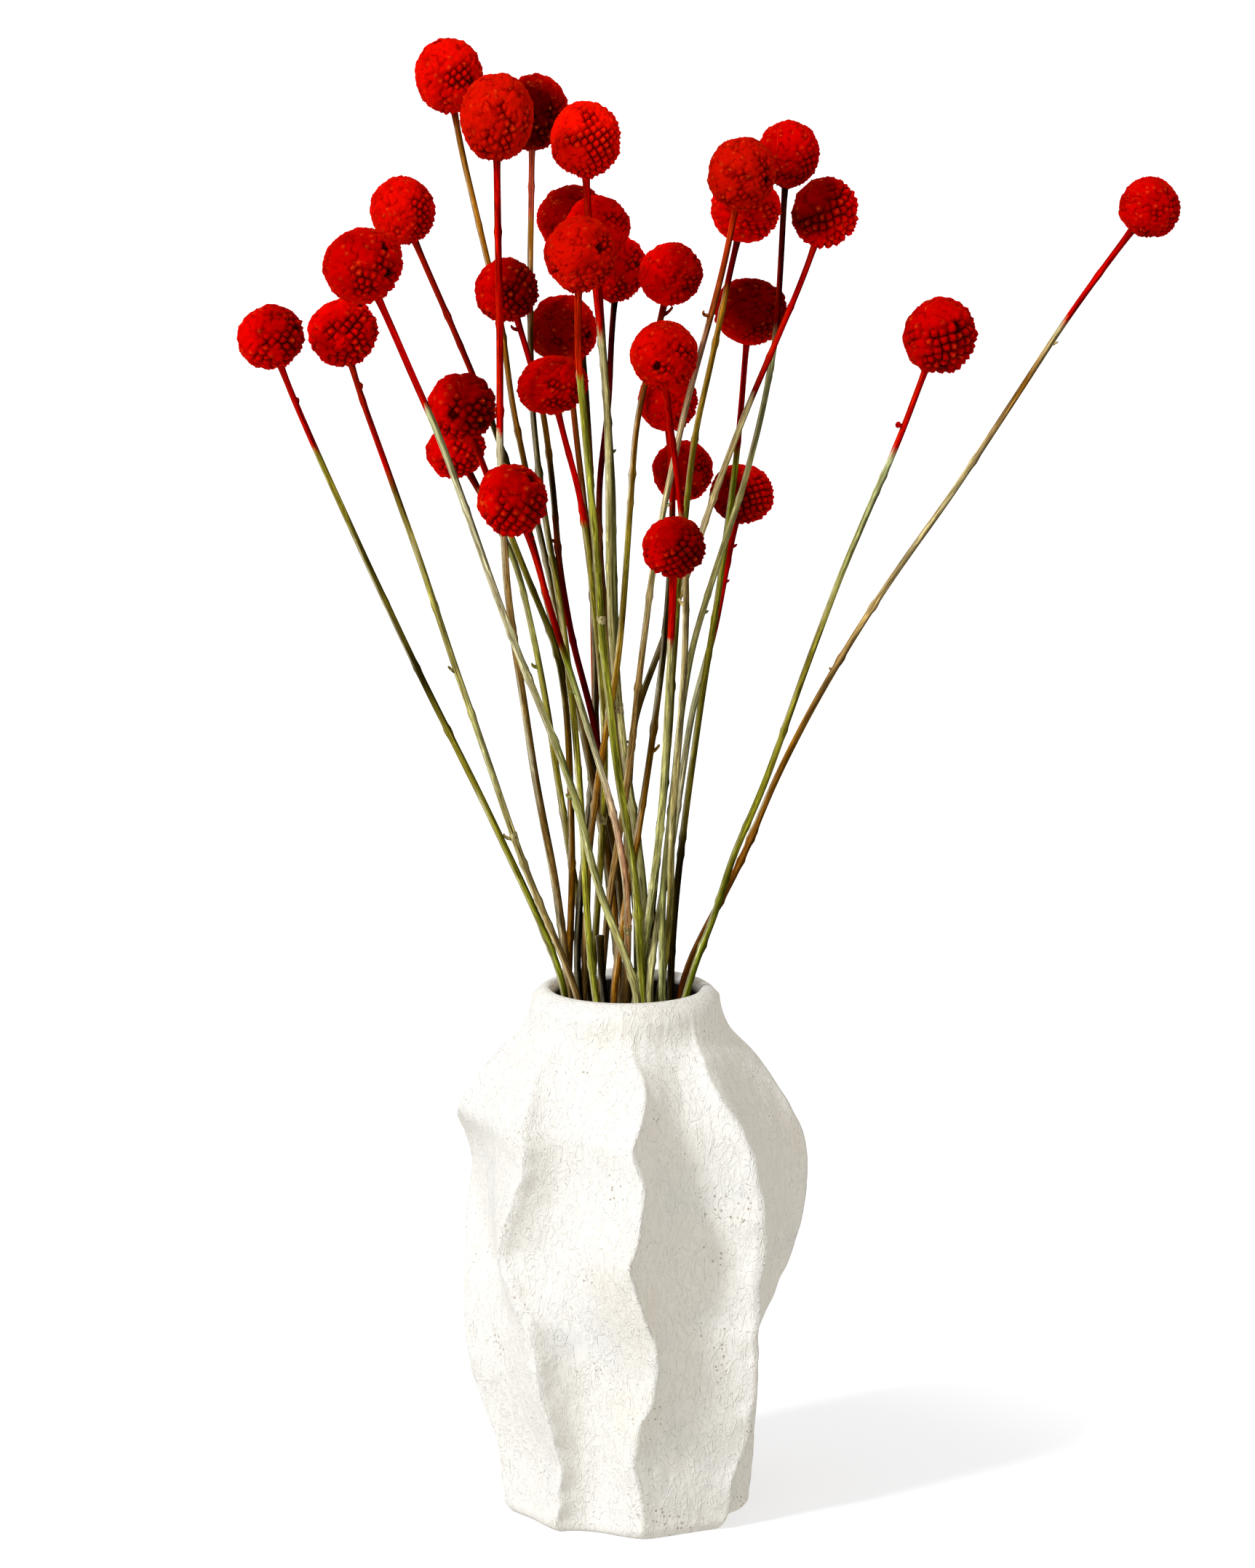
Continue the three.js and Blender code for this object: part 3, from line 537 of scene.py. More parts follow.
def stem_material():
    """Dry skin in the stem's own colours, with long streaks, dark lines and pale flecks."""
    shader = Shader("dried_stem", Roughness=0.6, Specular_IOR_Level=0.0)
    grain_place = shader.attribute("grain", "Vector")
    colour = shader.attribute("tone", "Color")
    long_grain = shader.stretched(grain_place, (1, 1, 0.3))
    streaks = shader.fade(shader.noise(long_grain, 2.6, 2), 0.47, 0.56)
    colour = shader.mix(shader.math("MULTIPLY", streaks, 0.55), colour, linear(STEM_STREAK), "MULTIPLY")
    lines = shader.fade(shader.noise(shader.stretched(grain_place, (1, 1, 0.5)), 5.5, 2), 0.55, 0.62)
    colour = shader.mix(shader.math("MULTIPLY", lines, 0.75), colour, linear(STEM_LINE), "MULTIPLY")
    flecks = shader.fade(shader.noise(grain_place, 3.0, 2, output="Color"), 0.56, 0.62)
    colour = shader.mix(shader.math("MULTIPLY", flecks, 0.8), colour, STEM_FLECK, "MULTIPLY")
    normal = shader.bump(shader.noise(long_grain, 5.0, 3, 0.6), 0.6, 0.3)
    return shader.finish(Base_Color=colour, Normal=normal)


CLAY = clay_material()
DYED_FLORETS = head_material()
DRIED_STEM = stem_material()


def tube_faces(rings, sides):
    """The faces of a closed tube through rings of points: quads between the rings and a cap at each end."""
    faces = []
    for row in range(rings - 1):
        for side in range(sides):
            a, b = row * sides + side, row * sides + (side + 1) % sides
            faces.append((a, b, b + sides, a + sides))
    faces.append(tuple(range(sides))[::-1])
    faces.append(tuple((rings - 1) * sides + side for side in range(sides)))
    return faces


class VaseForm:
    """The outside of the vase: wavy ridges with blunt, kinked crests, on a wall that isn't quite even."""

    def __init__(self):
        self.ridges = [by_height(ridge) for ridge in RIDGES]
        self.front_depth = by_height(FRONT_DEPTHS)
        self.reaches = {number: by_height(reach) for number, reach in RIDGE_REACHES.items()}
        across = np.arange(VASE_COLUMNS) / VASE_COLUMNS
        dips = [deep * np.sin(np.pi * across**skew) ** steep for deep, skew, steep in GROOVES]
        self.across = across
        self.dips = np.concatenate(dips)
        self.front = np.repeat(np.arange(len(RIDGES)) == FRONT_GROOVE, VASE_COLUMNS)
        self.after_crest = np.exp(-((across / CREST_WIDTH) ** 2))
        self.before_crest = np.exp(-(((1 - across) / CREST_WIDTH) ** 2))

    def from_crest_to_crest(self, values):
        """Values at the crests, spread evenly over the columns between them."""
        return values[:-1, None] + np.diff(values)[:, None] * self.across

    def angles(self, z, kinked):
        """The directions of all columns at a height, in radians."""
        crests = np.array([float(ridge(z)) for ridge in self.ridges])
        crests = np.append(crests, crests[0] + 360)
        places = [Vector((n * CREST_NOISE_STEP, 0.5, z / CREST_KINK_LENGTH)) for n in range(len(RIDGES))]
        kinks = np.array([noise.noise(place) for place in places])
        kinks = kinked * CREST_KINK * np.append(kinks, kinks[0])
        angle = self.from_crest_to_crest(crests)
        angle += kinks[:-1, None] * self.after_crest + kinks[1:, None] * self.before_crest
        return np.radians(angle).ravel()

    def ring(self, z, radius, depth=0.0, shift=0.0, rough=0.0):
        """The points at a height: depth is that of the grooves, and rough how uneven the wall is."""
        angle = self.angles(z, rough)
        blunt = CREST_ROUNDING + FOOT_CREST_ROUNDING * max(0, 1 - z / FOOT_CREST_HEIGHT) ** 2
        cut = np.where(self.front, float(self.front_depth(z)), 1) * self.dips
        r = radius - depth * (np.hypot(cut, blunt) - blunt)
        if depth:
            numbers = range(len(RIDGES) + 1)
            ends = np.array([float(self.reaches[n](z)) if n in self.reaches else 0 for n in numbers])
            r = r + self.from_crest_to_crest(ends).ravel()
        x, y = np.sin(angle), -np.cos(angle)
        if rough:
            r = r + rough * np.array([wall_stray(a, b, z) for a, b in zip(x, y)])
        return np.stack([r * x + shift, r * y, np.full_like(r, z)], 1)


def wall_stray(x, y, z):
    """How far out the wall strays in the direction x, y at a height."""
    return sum(
        amount * (noise.noise(Vector((x * times, y * times, z / length))) + push)
        for amount, times, length, push in WALL_STRAYS
    )


def make_vase():
    """The vase at full fineness: its wall, its rolled lip and its hollow."""
    profiles = (CREST_PROFILE, GROOVE_PROFILE, SWAY_PROFILE, HOLLOW_PROFILE)
    crest, groove, sway, hollow = map(smooth_profile, profiles)
    form = VaseForm()
    rings = [form.ring(0, crest(0) - FOOT_EDGE, groove(0))]
    for z in np.linspace(0, LIP_BASE_HEIGHT, round(LIP_BASE_HEIGHT / WALL_RING_GAP))[1:]:
        rounding = FOOT_EDGE * max(0, 1 - z / FOOT_EDGE_HEIGHT) ** 2
        rings.append(form.ring(z, crest(z) - rounding, groove(z), sway(z), min(1, z / UNEVEN_HEIGHT)))
    for z, radius in LIP_PROFILE:
        rings.append(form.ring(z, radius))
    lip_rings = len(rings)
    for z in HOLLOW_LEVELS:
        rings.append(form.ring(z, float(hollow(z))))
    sides = len(rings[0])
    points = np.concatenate(rings)
    inside = np.zeros(len(points))
    inside[(lip_rings - 1) * sides :] = 1
    faces = tube_faces(len(rings), sides)
    made = make_object("clay_vase", points, faces, CLAY, [("inside", "FLOAT", inside)])
    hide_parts("vase")


def node_triangles(name):
    """A CAD node's triangles, in millimetres."""
    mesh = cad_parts[name].data
    mesh.calc_loop_triangles()
    corners = np.array([tuple(t.vertices) for t in mesh.loop_triangles])
    return np.array([v.co for v in mesh.vertices])[corners] / METRES


def sections(triangles, z):
    """The loops that a level plane cuts from triangles, as (centre x, centre y, area)."""
    above = triangles[:, :, 2] > z
    crossed = above.any(1) & ~above.all(1)
    links = {}
    for triangle, side in zip(triangles[crossed], above[crossed]):
        odd = int(np.flatnonzero(side == (side.sum() == 1))[0])
        ends = []
        for other in ((odd + 1) % 3, (odd + 2) % 3):
            a, b = sorted((tuple(triangle[odd]), tuple(triangle[other])))
            t = (z - a[2]) / (b[2] - a[2])
            ends.append((round(a[0] + (b[0] - a[0]) * t, 3), round(a[1] + (b[1] - a[1]) * t, 3)))
        if ends[0] != ends[1]:
            links.setdefault(ends[0], []).append(ends[1])
            links.setdefault(ends[1], []).append(ends[0])
    found = []
    while links:
        start = next(iter(links))
        loop, here = [], start
        while here in links:
            loop.append(here)
            onward = [p for p in links.pop(here) if p in links]
            here = onward[0] if onward else None
        ring = np.array(loop)
        x, y = ring[:, 0], ring[:, 1]
        area = abs(np.dot(x, np.roll(y, 1)) - np.dot(y, np.roll(x, 1))) / 2
        found.append((*ring.mean(0), area))
    return found


def stem_line(node, top, start):
    """A stem's middle points from the floor of the vase up, with its radius at each, read from its node.

    It follows one stem down from the place start, just below top, and goes straight on where the feet
    of a bunch run together."""
    triangles = node_triangles(node)
    place = np.array(start[:2])
    slope = np.zeros(2)
    line, radius, usual = [], [], None
    for z in np.arange(start[2], FLOOR_HEIGHT + 1, -LEVEL_GAP):
        expected = place + slope
        loops = [s for s in sections(triangles, z) if s[2] > LEAST_SECTION]
        nearest = min(loops, key=lambda s: math.hypot(s[0] - expected[0], s[1] - expected[1]))
        if usual and nearest[2] > JOINED_SHARE * usual:
            found, area = expected, usual
        else:
            found, area = np.array(nearest[:2]), nearest[2]
            usual = area if usual is None else 0.7 * usual + 0.3 * area
        if line:
            slope = 0.5 * slope + 0.5 * (found - place)
        place = found
        lean = math.hypot(LEVEL_GAP, *slope) / LEVEL_GAP
        line.append((*place, z))
        radius.append(math.sqrt(area / lean / SECTION_SHAPE))
    line = [tuple(top)] + line + [(*(line[-1][:2] + slope * 0.5), FLOOR_HEIGHT + SEAT_GAP)]
    radius = [radius[0]] + radius + [radius[-1]]
    line, radius = np.array(line)[::-1], np.array(radius)[::-1]
    for _ in range(LINE_SMOOTHING):
        line[1:-1] = (line[:-2] + 2 * line[1:-1] + line[2:]) / 4
        radius[1:-1] = (radius[:-2] + 2 * radius[1:-1] + radius[2:]) / 4
    return line, radius


def stem_colour(stops, heights):
    """The plain colour of a stem at heights, blended between its stops."""
    stops = sorted(stops)
    at = [s[0] for s in stops]
    colours = np.array([linear(PALETTE[s[1]])[:3] for s in stops])
    return np.stack([np.interp(heights, at, colours[:, c]) for c in range(3)], -1)


def stem_tones(stops, heights, angle, rng):
    """The colour of each point of a stem: its colours meet at ragged edges, and it has painted light on
    the side towards the light and painted shade on the side away from it."""
    ragged = np.array([rng.uniform(-COLOUR_RAGGEDNESS, COLOUR_RAGGEDNESS) for _ in angle])
    tone = stem_colour(stops, heights[:, None] + ragged[None, :])
    painted_shade_side = math.radians(rng.uniform(*PAINTED_SHADE_DIRECTIONS))
    offset = Vector((rng.uniform(0, 90), 0, 0))
    wander = np.array([[
        noise.noise(offset + Vector((math.cos(a), math.sin(a), h / SHADE_LENGTH))) for a in angle
    ] for h in heights])
    # painted shade on the side of a stem away from the light, painted light on the side towards it
    facing = np.cos(angle - painted_shade_side)[None, :] + SHADE_WANDER * wander
    dark = np.clip((facing - PAINTED_SHADE_FROM) / SHADE_EDGE, 0, 1) * PAINTED_SHADE_SHARE
    painted_highlight = np.clip((-facing - PAINTED_LIGHT_FROM) / SHADE_EDGE, 0, 1) * PAINTED_LIGHT_SHARE
    dyed = tone[..., :1] > DYED_REDNESS * tone[..., 1:2]
    pale = np.where(dyed, linear(PALETTE["painted_highlight_dyed"])[:3], linear(PALETTE["painted_highlight"])[:3])
    tone = tone * (1 - dark)[..., None]
    tone = tone + (pale - tone) * (painted_highlight * np.where(dyed[..., 0], DYED_PAINTED_LIGHT_SHARE, 1))[..., None]
    return np.concatenate([tone, np.ones((*tone.shape[:2], 1))], -1).reshape(-1, 4)


class StemMesh:
    """The points of a stem and of all that grows from it, with their colours and grain."""

    def __init__(self):
        self.points, self.faces, self.tones, self.grain = [], [], [], []

    def add(self, rings, tones, grain):
        """A closed tube through rings of points."""
        first = sum(len(p) for p in self.points)
        faces = tube_faces(len(rings), len(rings[0]))
        self.faces += [tuple(first + corner for corner in face) for face in faces]
        self.points.append(np.reshape(rings, (-1, 3)))
        self.tones.append(np.reshape(tones, (-1, 4)))
        self.grain.append(np.reshape(grain, (-1, 3)))

    def make(self, name):
        attributes = [
            ("tone", "FLOAT_COLOR", np.concatenate(self.tones)),
            ("grain", "FLOAT_VECTOR", np.concatenate(self.grain)),
        ]
        return make_object(name, np.concatenate(self.points), self.faces, DRIED_STEM, attributes)


def add_shoot(stem, kind, foot, out, up, colour, rng):
    """A bud, a hook, a thorn or the stub of a twig on the side of a stem."""
    size = rng.uniform(*SHOOT_SIZES)
    shape = np.array(SHOOT_SHAPES[kind]) * (size, size, 1)
    middle = foot + shape[:, :1] * out + shape[:, 1:2] * up
    side = np.cross(out, up)
    tangent = np.gradient(middle, axis=0)
    tangent /= np.linalg.norm(tangent, axis=1)[:, None]
    across = np.cross(tangent, side)
    angle = around(SHOOT_SIDES)
    rings = middle[:, None] + shape[:, 2][:, None, None] * (
        np.cos(angle)[None, :, None] * side + np.sin(angle)[None, :, None] * across[:, None]
    )
    tones = np.ones((len(shape), SHOOT_SIDES, 4))
    tones[..., :3] = colour * rng.uniform(*SHOOT_SHADES)
    stem.add(rings, tones, rings / 4)


def add_ring(stem, foot, radius, up, rng):
    """The papery ring round a stem where a leaf has dropped: ragged, pale and a little open at its top."""
    angle = around(RING_SIDES)
    ragged = np.array([rng.uniform(*RING_EDGES) for _ in angle])
    across = np.cross(up, (0, 1, 0))
    across /= np.linalg.norm(across)
    through = np.cross(up, across)
    out = np.cos(angle)[:, None] * across + np.sin(angle)[:, None] * through
    rings = []
    for rise, reach, loose in RING_SHAPE:
        rings.append(foot + out * (radius + reach) + (rise + ragged * loose)[:, None] * up)
    tones = np.ones((len(rings), RING_SIDES, 4))
    tones[..., :3] = linear(PALETTE["straw"])[:3]
    tones[..., :3] *= np.array([rng.uniform(*RING_SHADES) for _ in angle])[None, :, None]
    stem.add(rings, tones, np.array(rings) / 3)


def around(sides):
    """The directions of the sides of a tube, in radians."""
    return np.arange(sides) / sides * 2 * math.pi


def make_stem(name, node, line, radius, stops, number):
    """A stem as a ribbed, slightly twisted tube with small knots, along the line of its CAD solid, with
    its side shoots and papery rings."""
    rng = random.Random(number)
    z_from, z_to = line[0][2], line[-1][2]
    visible = np.arange(z_to, HIDDEN_HEIGHT, -STEM_RING_GAP)[::-1]
    hidden = np.arange(z_from, HIDDEN_HEIGHT - HIDDEN_RING_GAP / 2, HIDDEN_RING_GAP)
    heights = np.concatenate([hidden, visible])
    middle = np.stack([np.interp(heights, line[:, 2], line[:, c]) for c in range(3)], 1)
    r = np.interp(heights, line[:, 2], radius)
    wander = Vector((rng.uniform(0, 50), rng.uniform(0, 50), 0))
    for k in np.flatnonzero(heights > SWAY_HEIGHT):
        sway = noise.noise_vector(wander + Vector((0, 0, heights[k] / STEM_SWAY_LENGTH)))
        middle[k, :2] += STEM_SWAY * np.array(sway[:2])
    for _ in range(int((z_to - VASE_HEIGHT) / KNOT_DISTANCE)):
        knot, swell = rng.uniform(VASE_HEIGHT + 7, z_to - 15), rng.uniform(*KNOT_SWELLS)
        r = r * (1 + swell * np.exp(-(((heights - knot) / KNOT_LENGTH) ** 2)))
    r = r * (1 + NECK_SWELL * np.clip(1 - (z_to - heights) / NECK_LENGTH, 0, 1) ** 2)
    tangent = np.gradient(middle, axis=0)
    tangent /= np.linalg.norm(tangent, axis=1)[:, None]
    across = np.array([1.0, 0, 0]) - tangent[:, :1] * tangent
    across /= np.linalg.norm(across, axis=1)[:, None]
    through = np.cross(tangent, across)
    angle = around(STEM_SIDES)
    twist = rng.uniform(-1, 1) * heights / TWIST_LENGTH
    (many, high), (few, low) = RIBS
    ribs = 1 + high * np.cos(many * angle[None, :] + twist[:, None])
    ribs = ribs + low * np.cos(few * angle[None, :] - 2 * twist[:, None] + rng.uniform(0, 6))
    reach = (r[:, None] * ribs)[..., None]
    out = np.cos(angle)[None, :, None] * across[:, None] + np.sin(angle)[None, :, None] * through[:, None]
    tones = stem_tones(stops, heights, angle, rng)
    shape = (len(heights), STEM_SIDES)
    grain = np.stack([
        np.broadcast_to(np.cos(angle), shape),
        np.broadcast_to(np.sin(angle), shape),
        np.broadcast_to(heights[:, None] / GRAIN_LENGTH + number * GRAIN_STEP, shape),
    ], -1)
    stem = StemMesh()
    stem.add(middle[:, None] + out * reach, tones, grain)

    def at(z, field):
        return np.array([np.interp(z, heights, field[:, c]) for c in range(3)])

    for kind, z, side in SHOOTS.get(number, ()):
        sideways = np.array((side, -0.25, 0))
        add_shoot(stem, kind, at(z, middle), sideways, at(z, tangent), stem_colour(stops, z), rng)
    for z in RINGS.get(number, ()):
        add_ring(stem, at(z, middle), np.interp(z, heights, r), at(z, tangent), rng)
    made = stem.make(name)
    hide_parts(node)


def floret_cells(count, seed, jitter):
    """Directions of florets in a golden spiral over a ball, and the cells between them.

    Returns the directions, the corners of the cells, the middles of the cells' edges, and for each
    cell its corners and edge middles in turn round it."""
    rng = random.Random(seed)
    golden = math.pi * (3 - math.sqrt(5))
    net = bmesh.new()
    for n in range(count):
        z = 1 - (2 * n + 1) / count
        r = math.sqrt(1 - z * z)
        place = Vector((r * math.cos(n * golden), r * math.sin(n * golden), z))
        place += Vector([rng.uniform(-jitter, jitter) for _ in range(3)])
        net.verts.new(place.normalized())
    bmesh.ops.convex_hull(net, input=net.verts)
    net.verts.index_update()
    net.faces.index_update()
    net.edges.index_update()
    net.faces.ensure_lookup_table()
    directions = np.array([v.co for v in net.verts])
    a, b, c = (np.array([face.verts[k].co for face in net.faces]) for k in range(3))
    corners = np.cross(b - a, c - a)
    corners /= np.linalg.norm(corners, axis=1)[:, None]
    corners *= np.sign((corners * a).sum(1))[:, None]
    middles = np.array([corners[e.link_faces[0].index] + corners[e.link_faces[1].index] for e in net.edges])
    middles /= np.linalg.norm(middles, axis=1)[:, None]
    cells = []
    for vert in net.verts:
        first = loop = vert.link_loops[0]
        cell = []
        while True:
            cell.append((loop.face.index, loop.link_loop_prev.edge.index))
            loop = loop.link_loop_prev.link_loop_radial_next
            if loop == first:
                break
        cells.append(cell)
    net.free()
    return directions, corners, middles, cells


class HeadForm:
    """What a flower head is like at a direction from its centre."""

    def __init__(self, number, turn):
        self.turn = turn
        self.offset = Vector((number * 5.1, number * 2.3, 0))
        self.smoothness = BEADED_SMOOTHNESS if number in BEADED_HEADS else PACKED_SMOOTHNESS
        orange = ORANGE_HEADS.get(number, 0)
        self.plain = np.array(linear(HEAD_RED)) * (1 - orange) + np.array(linear(HEAD_ORANGE)) * orange
        # partly painted light and shade: the whole head lighter or darker
        self.plain *= DYE_AND_PAINTED_LIGHT_STRENGTHS.get(number, USUAL_DYE)
        self.dark_share, painted_shade_side = PAINTED_SHADE_HEADS.get(number, USUAL_PAINTED_SHADE)
        self.painted_shade_side = np.array(Vector(painted_shade_side).normalized())

    def boldness(self, direction):
        """From 0 where the florets are packed to 1 where they stand apart."""
        facing = float(np.dot(self.turn @ direction, BOLD_SIDE))
        spread = noise.noise(self.offset + Vector(direction) * BOLD_SPREAD)
        share = min(1, max(0, 0.5 + 1.2 * (facing - self.smoothness) + 1.7 * spread))
        return share * share * (3 - 2 * share)

    def relief(self, direction):
        """How strongly the florets stand out."""
        return SMOOTH_RELIEF + BOLD_RELIEF * self.boldness(direction)

    def fold(self, direction):
        """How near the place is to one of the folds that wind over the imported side."""
        place = (self.offset + Vector(direction)) * FOLD_SPREAD
        place += 0.6 * noise.noise_vector(place * 0.7)
        return math.exp(-((noise.noise(place) / FOLD_WIDTH) ** 2)) * (1 - self.boldness(direction))

    def lump(self, direction):
        """How far the head bulges."""
        place = self.offset + Vector(direction)
        return sum(height * noise.noise(place * times) for height, times in LUMPS)

    def dye_and_painted_light(self, direction):
        """Its dyed colour with painted light and shade: the whole head lighter or darker, and one side
        darker.
        """
        # painted shade, darker towards one side of the head
        facing = float(np.dot(self.turn @ direction, self.painted_shade_side))
        share = self.dark_share * min(1, max(0, (facing + 0.1) / 0.75))
        return self.plain * (1 - share) + np.array(linear(HEAD_PAINTED_SHADE)) * share


def make_head(number, low, high, axis):
    """A flower head that fills the box of its CAD solid: florets that are smooth and packed on one side
    and stand apart as round beads on the other, each with a small point."""
    rng = random.Random(number)
    count = BEADED_HEADS.get(number, FLORETS)
    directions, corners, middles, cells = floret_cells(count, number, ROWED_HEADS.get(number, FLORET_JITTER))
    dome = FLORET_ROUNDNESS * math.sqrt(4 * math.pi / count / PACKING)
    turn = np.array(Vector((0, 0, 1)).rotation_difference(axis).to_matrix())
    form = HeadForm(number, turn)

    def depth(distance):
        return dome - math.sqrt(max(dome * dome - distance * distance, 0))

    sunk, shade, painted_glint = [], [], []
    for direction in directions:
        bold = form.boldness(direction)
        pit = rng.random() < PIT_CHANCE + BOLD_PIT_CHANCE * bold
        sunk.append(rng.uniform(0.1, 0.2) if pit else rng.uniform(0, 0.01 + 0.035 * bold))
        shade.append(PIT_PAINTED_SHADE if pit else 1)
        painted_glint.append(rng.uniform(0.3, 1) if rng.random() < PAINTED_GLINT_CHANCE and not pit else 0)
    points, painted_light_shares, painted_glints, dyes_and_painted_light = [], [], [], []

    def add(direction, level, painted_light_share, glint):
        """The number of a new point, level below the form of the head."""
        fold = form.fold(direction)
        points.append(direction * (1 + form.lump(direction) - level - FOLD_DEPTH * fold))
        # painted shade in the folds
        painted_light_shares.append(painted_light_share * (1 - 0.6 * fold))
        painted_glints.append(glint)
        dyes_and_painted_light.append(form.dye_and_painted_light(direction))
        return len(points) - 1

    def shared(places, owners):
        """New points at the edges of the florets that own each place."""
        made = []
        for place, owner in zip(places, owners):
            relief = form.relief(place)
            near = [depth(np.linalg.norm(place - directions[i])) * relief + sunk[i] for i in owner]
            # painted shade in the seams: more where the florets stand apart, most beside a missing floret
            painted_light_share = (1 - 0.95 * form.boldness(place)) * min(shade[i] for i in owner)
            made.append(add(place, sum(near) / len(near), painted_light_share, 0.0))
        return made

    def step_out(i, place, share, painted_light_share, glint):
        """A point of floret i on the way from its middle to a place on its edge."""
        step = directions[i] + (place - directions[i]) * share
        level = depth(np.linalg.norm(step - directions[i])) * form.relief(directions[i]) + sunk[i]
        return add(step / np.linalg.norm(step), level, painted_light_share * shade[i], glint)

    corner_owners = [[] for _ in corners]
    middle_owners = [[] for _ in middles]
    for i, cell in enumerate(cells):
        for corner, middle in cell:
            corner_owners[corner].append(i)
            middle_owners[middle].append(i)
    corner_points = shared(corners, corner_owners)
    middle_points = shared(middles, middle_owners)
    faces = []
    for i, cell in enumerate(cells):
        apex = add(directions[i], sunk[i] - FLORET_NUB * rng.uniform(0.3, 1.3), shade[i], painted_glint[i])
        # painted shade towards the feet of the florets, more where they stand apart
        skirt = 0.9 - 0.35 * form.boldness(directions[i])
        inner, outer, rim = [], [], []
        for corner, middle in cell:
            inner.append(step_out(i, corners[corner], NUB_SHARE, 1.0, painted_glint[i] * RIM_PAINTED_GLINT))
            outer.append(step_out(i, corners[corner], SKIRT_SHARE, skirt, 0.0))
            outer.append(step_out(i, middles[middle], SKIRT_SHARE, skirt, 0.0))
            rim += [corner_points[corner], middle_points[middle]]
        edges = len(cell)
        for k in range(edges):
            after = (k + 1) % edges
            faces.append((apex, inner[k], inner[after]))
            faces.append((inner[k], outer[2 * k], outer[2 * k + 1]))
            faces.append((inner[k], outer[2 * k + 1], inner[after]))
            faces.append((inner[after], outer[2 * k + 1], outer[(2 * k + 2) % (2 * edges)]))
        for k in range(2 * edges):
            after = (k + 1) % (2 * edges)
            faces.append((outer[k], rim[k], rim[after], outer[after]))
    size = high - low
    width, height = (size.x + size.y) / 2, size.z
    points = np.array(points) * (width / 2, width / 2, height / 2) @ turn.T
    least, most = points.min(0), points.max(0)
    points = np.array(low) + (points - least) / (most - least) * np.array(size)
    made = make_object(
        f"florets_{number:02}", points, faces, DYED_FLORETS,
        [("painted_light_share", "FLOAT", painted_light_shares), ("painted_glint", "FLOAT", painted_glints), ("dye_and_painted_light", "FLOAT_COLOR", dyes_and_painted_light)],
    )
    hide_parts(f"flower_head_{number:02}")


def make_flowers():
    """All heads with their stems, and the cut stem."""
    bunch_of = {number: node for node, numbers in BUNCHES.items() for number in numbers}
    for number in range(1, FLOWER_COUNT + 1):
        low, high = (Vector(c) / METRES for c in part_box(f"flower_head_{number:02}"))
        centre = (low + high) / 2
        size = high - low
        node = bunch_of.get(number, f"stem_{number:02}")
        triangles = node_triangles(node)
        start_height = low.z - LEVEL_GAP
        loops = sections(triangles, start_height)
        near = min(loops, key=lambda s: math.hypot(s[0] - centre.x, s[1] - centre.y))
        start = Vector((near[0], near[1], start_height))
        axis = (centre - start).normalized()
        make_head(number, low, high, axis)
        top = centre - axis * (STEM_END * size.z)
        line, radius = stem_line(node, top, start)
        make_stem(f"stalk_{number:02}", node, line, radius, STEM_COLOURS[number], number)
    start = Vector(CUT_STEM_TOP) - Vector((0, 0, LEVEL_GAP / 2))
    line, radius = stem_line(CUT_STEM_NODE, CUT_STEM_TOP, start)
    make_stem("stalk_cut", CUT_STEM_NODE, line, radius, STEM_COLOURS["cut"], FLOWER_COUNT + 1)


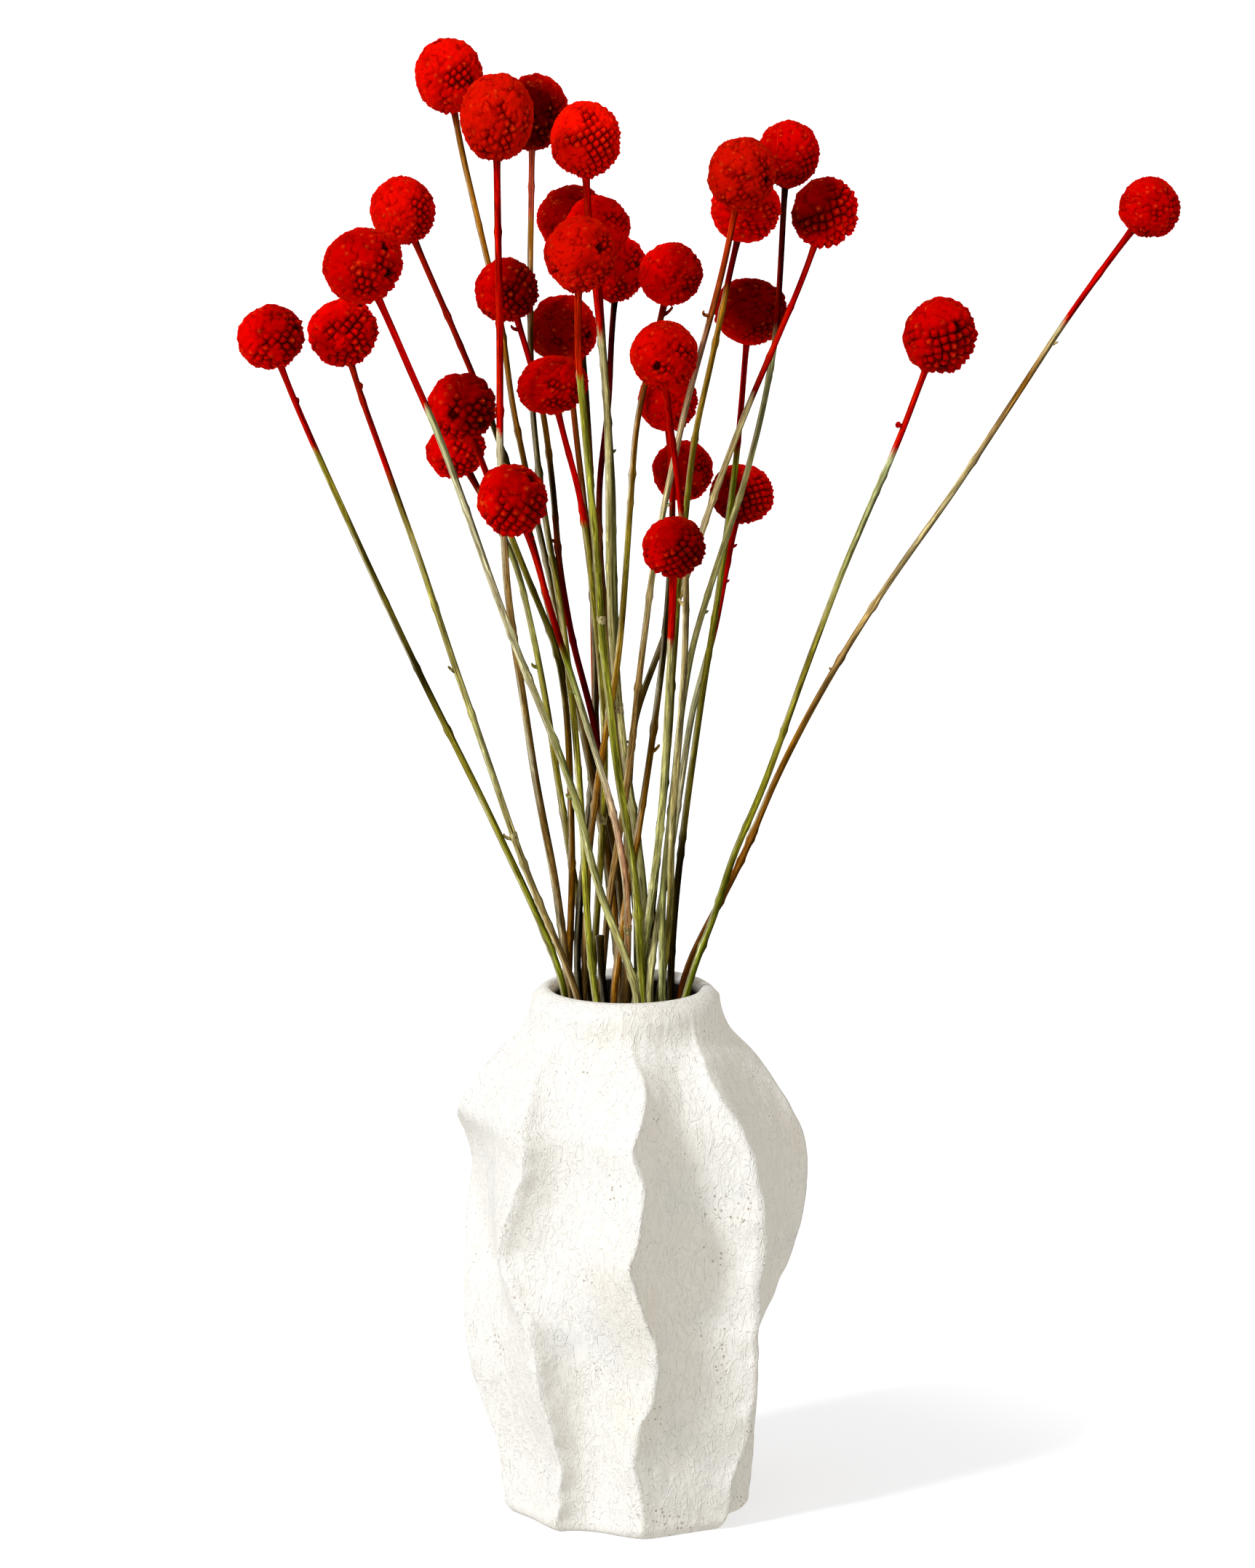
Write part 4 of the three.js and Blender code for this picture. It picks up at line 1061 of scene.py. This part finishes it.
def make_light(name, azimuth, elevation, softness, strength):
    """An even light from far away, its azimuth counted from the camera towards the left."""
    azimuth, elevation = math.radians(azimuth), math.radians(elevation)
    level = math.cos(elevation)
    towards = Vector((-math.sin(azimuth) * level, -math.cos(azimuth) * level, math.sin(elevation)))
    light = bpy.data.lights.new(name, "SUN")
    light.angle = math.radians(softness)
    light.energy = strength
    light.color = LIGHT_COLOUR
    lamp = bpy.data.objects.new(name, light)
    lamp.rotation_euler = towards.to_track_quat("Z", "Y").to_euler()
    bpy.context.scene.collection.objects.link(lamp)


def make_stage():
    """A white floor, light from the upper left, a weak soft fill, and what the floor throws back."""
    shader = Shader("floor", Roughness=1.0, Base_Color=linear(FLOOR_COLOUR), Emission_Color=(1, 1, 1, 1))
    near, far, rise = FLOOR_FADE
    # painted light: the floor glows, more with distance from the vase, so that the vase's shadow on it is
    # faint and its far end fades
    distance = shader.node("VectorMath", {0: shader.place()}, "Value", operation="LENGTH")
    glow = shader.fade(distance, near, far, FLOOR_GLOW, FLOOR_GLOW + rise)
    bpy.ops.mesh.primitive_plane_add(size=FLOOR_WIDTH)
    floor = bpy.context.object
    floor.name = "floor"
    floor.data.materials.append(shader.finish(Emission_Strength=glow))
    floor.visible_diffuse = False
    floor.visible_shadow = False

    make_light("key", KEY_AZIMUTH, KEY_ELEVATION, KEY_SOFTNESS, KEY_STRENGTH)
    make_light("fill", FILL_AZIMUTH, FILL_ELEVATION, FILL_SOFTNESS, FILL_STRENGTH)
    make_light("bounce", FILL_AZIMUTH, BOUNCE_ELEVATION, BOUNCE_SOFTNESS, BOUNCE_STRENGTH)

    world = bpy.data.worlds.new("studio")
    world.use_nodes = True
    world.node_tree.nodes["Background"].inputs["Color"].default_value = AMBIENT_COLOUR
    world.node_tree.nodes["Background"].inputs["Strength"].default_value = AMBIENT
    bpy.context.scene.world = world


def make_camera():
    """The photograph's camera."""
    data = bpy.data.cameras.new("camera")
    data.sensor_width = SENSOR
    data.lens = FOCAL_PIXELS / IMAGE_HEIGHT * SENSOR
    data.clip_end = 100
    camera = bpy.data.objects.new("camera", data)
    camera.location = Vector(CAMERA_PLACE) * METRES
    camera.rotation_euler = Euler((math.radians(90 - CAMERA_PITCH), 0, math.radians(-CAMERA_YAW)))
    bpy.context.scene.collection.objects.link(camera)
    bpy.context.scene.camera = camera
    bpy.context.scene.view_settings.view_transform = "Standard"


noise.seed_set(NOISE_SEED)
make_camera()
make_stage()
make_vase()
make_flowers()
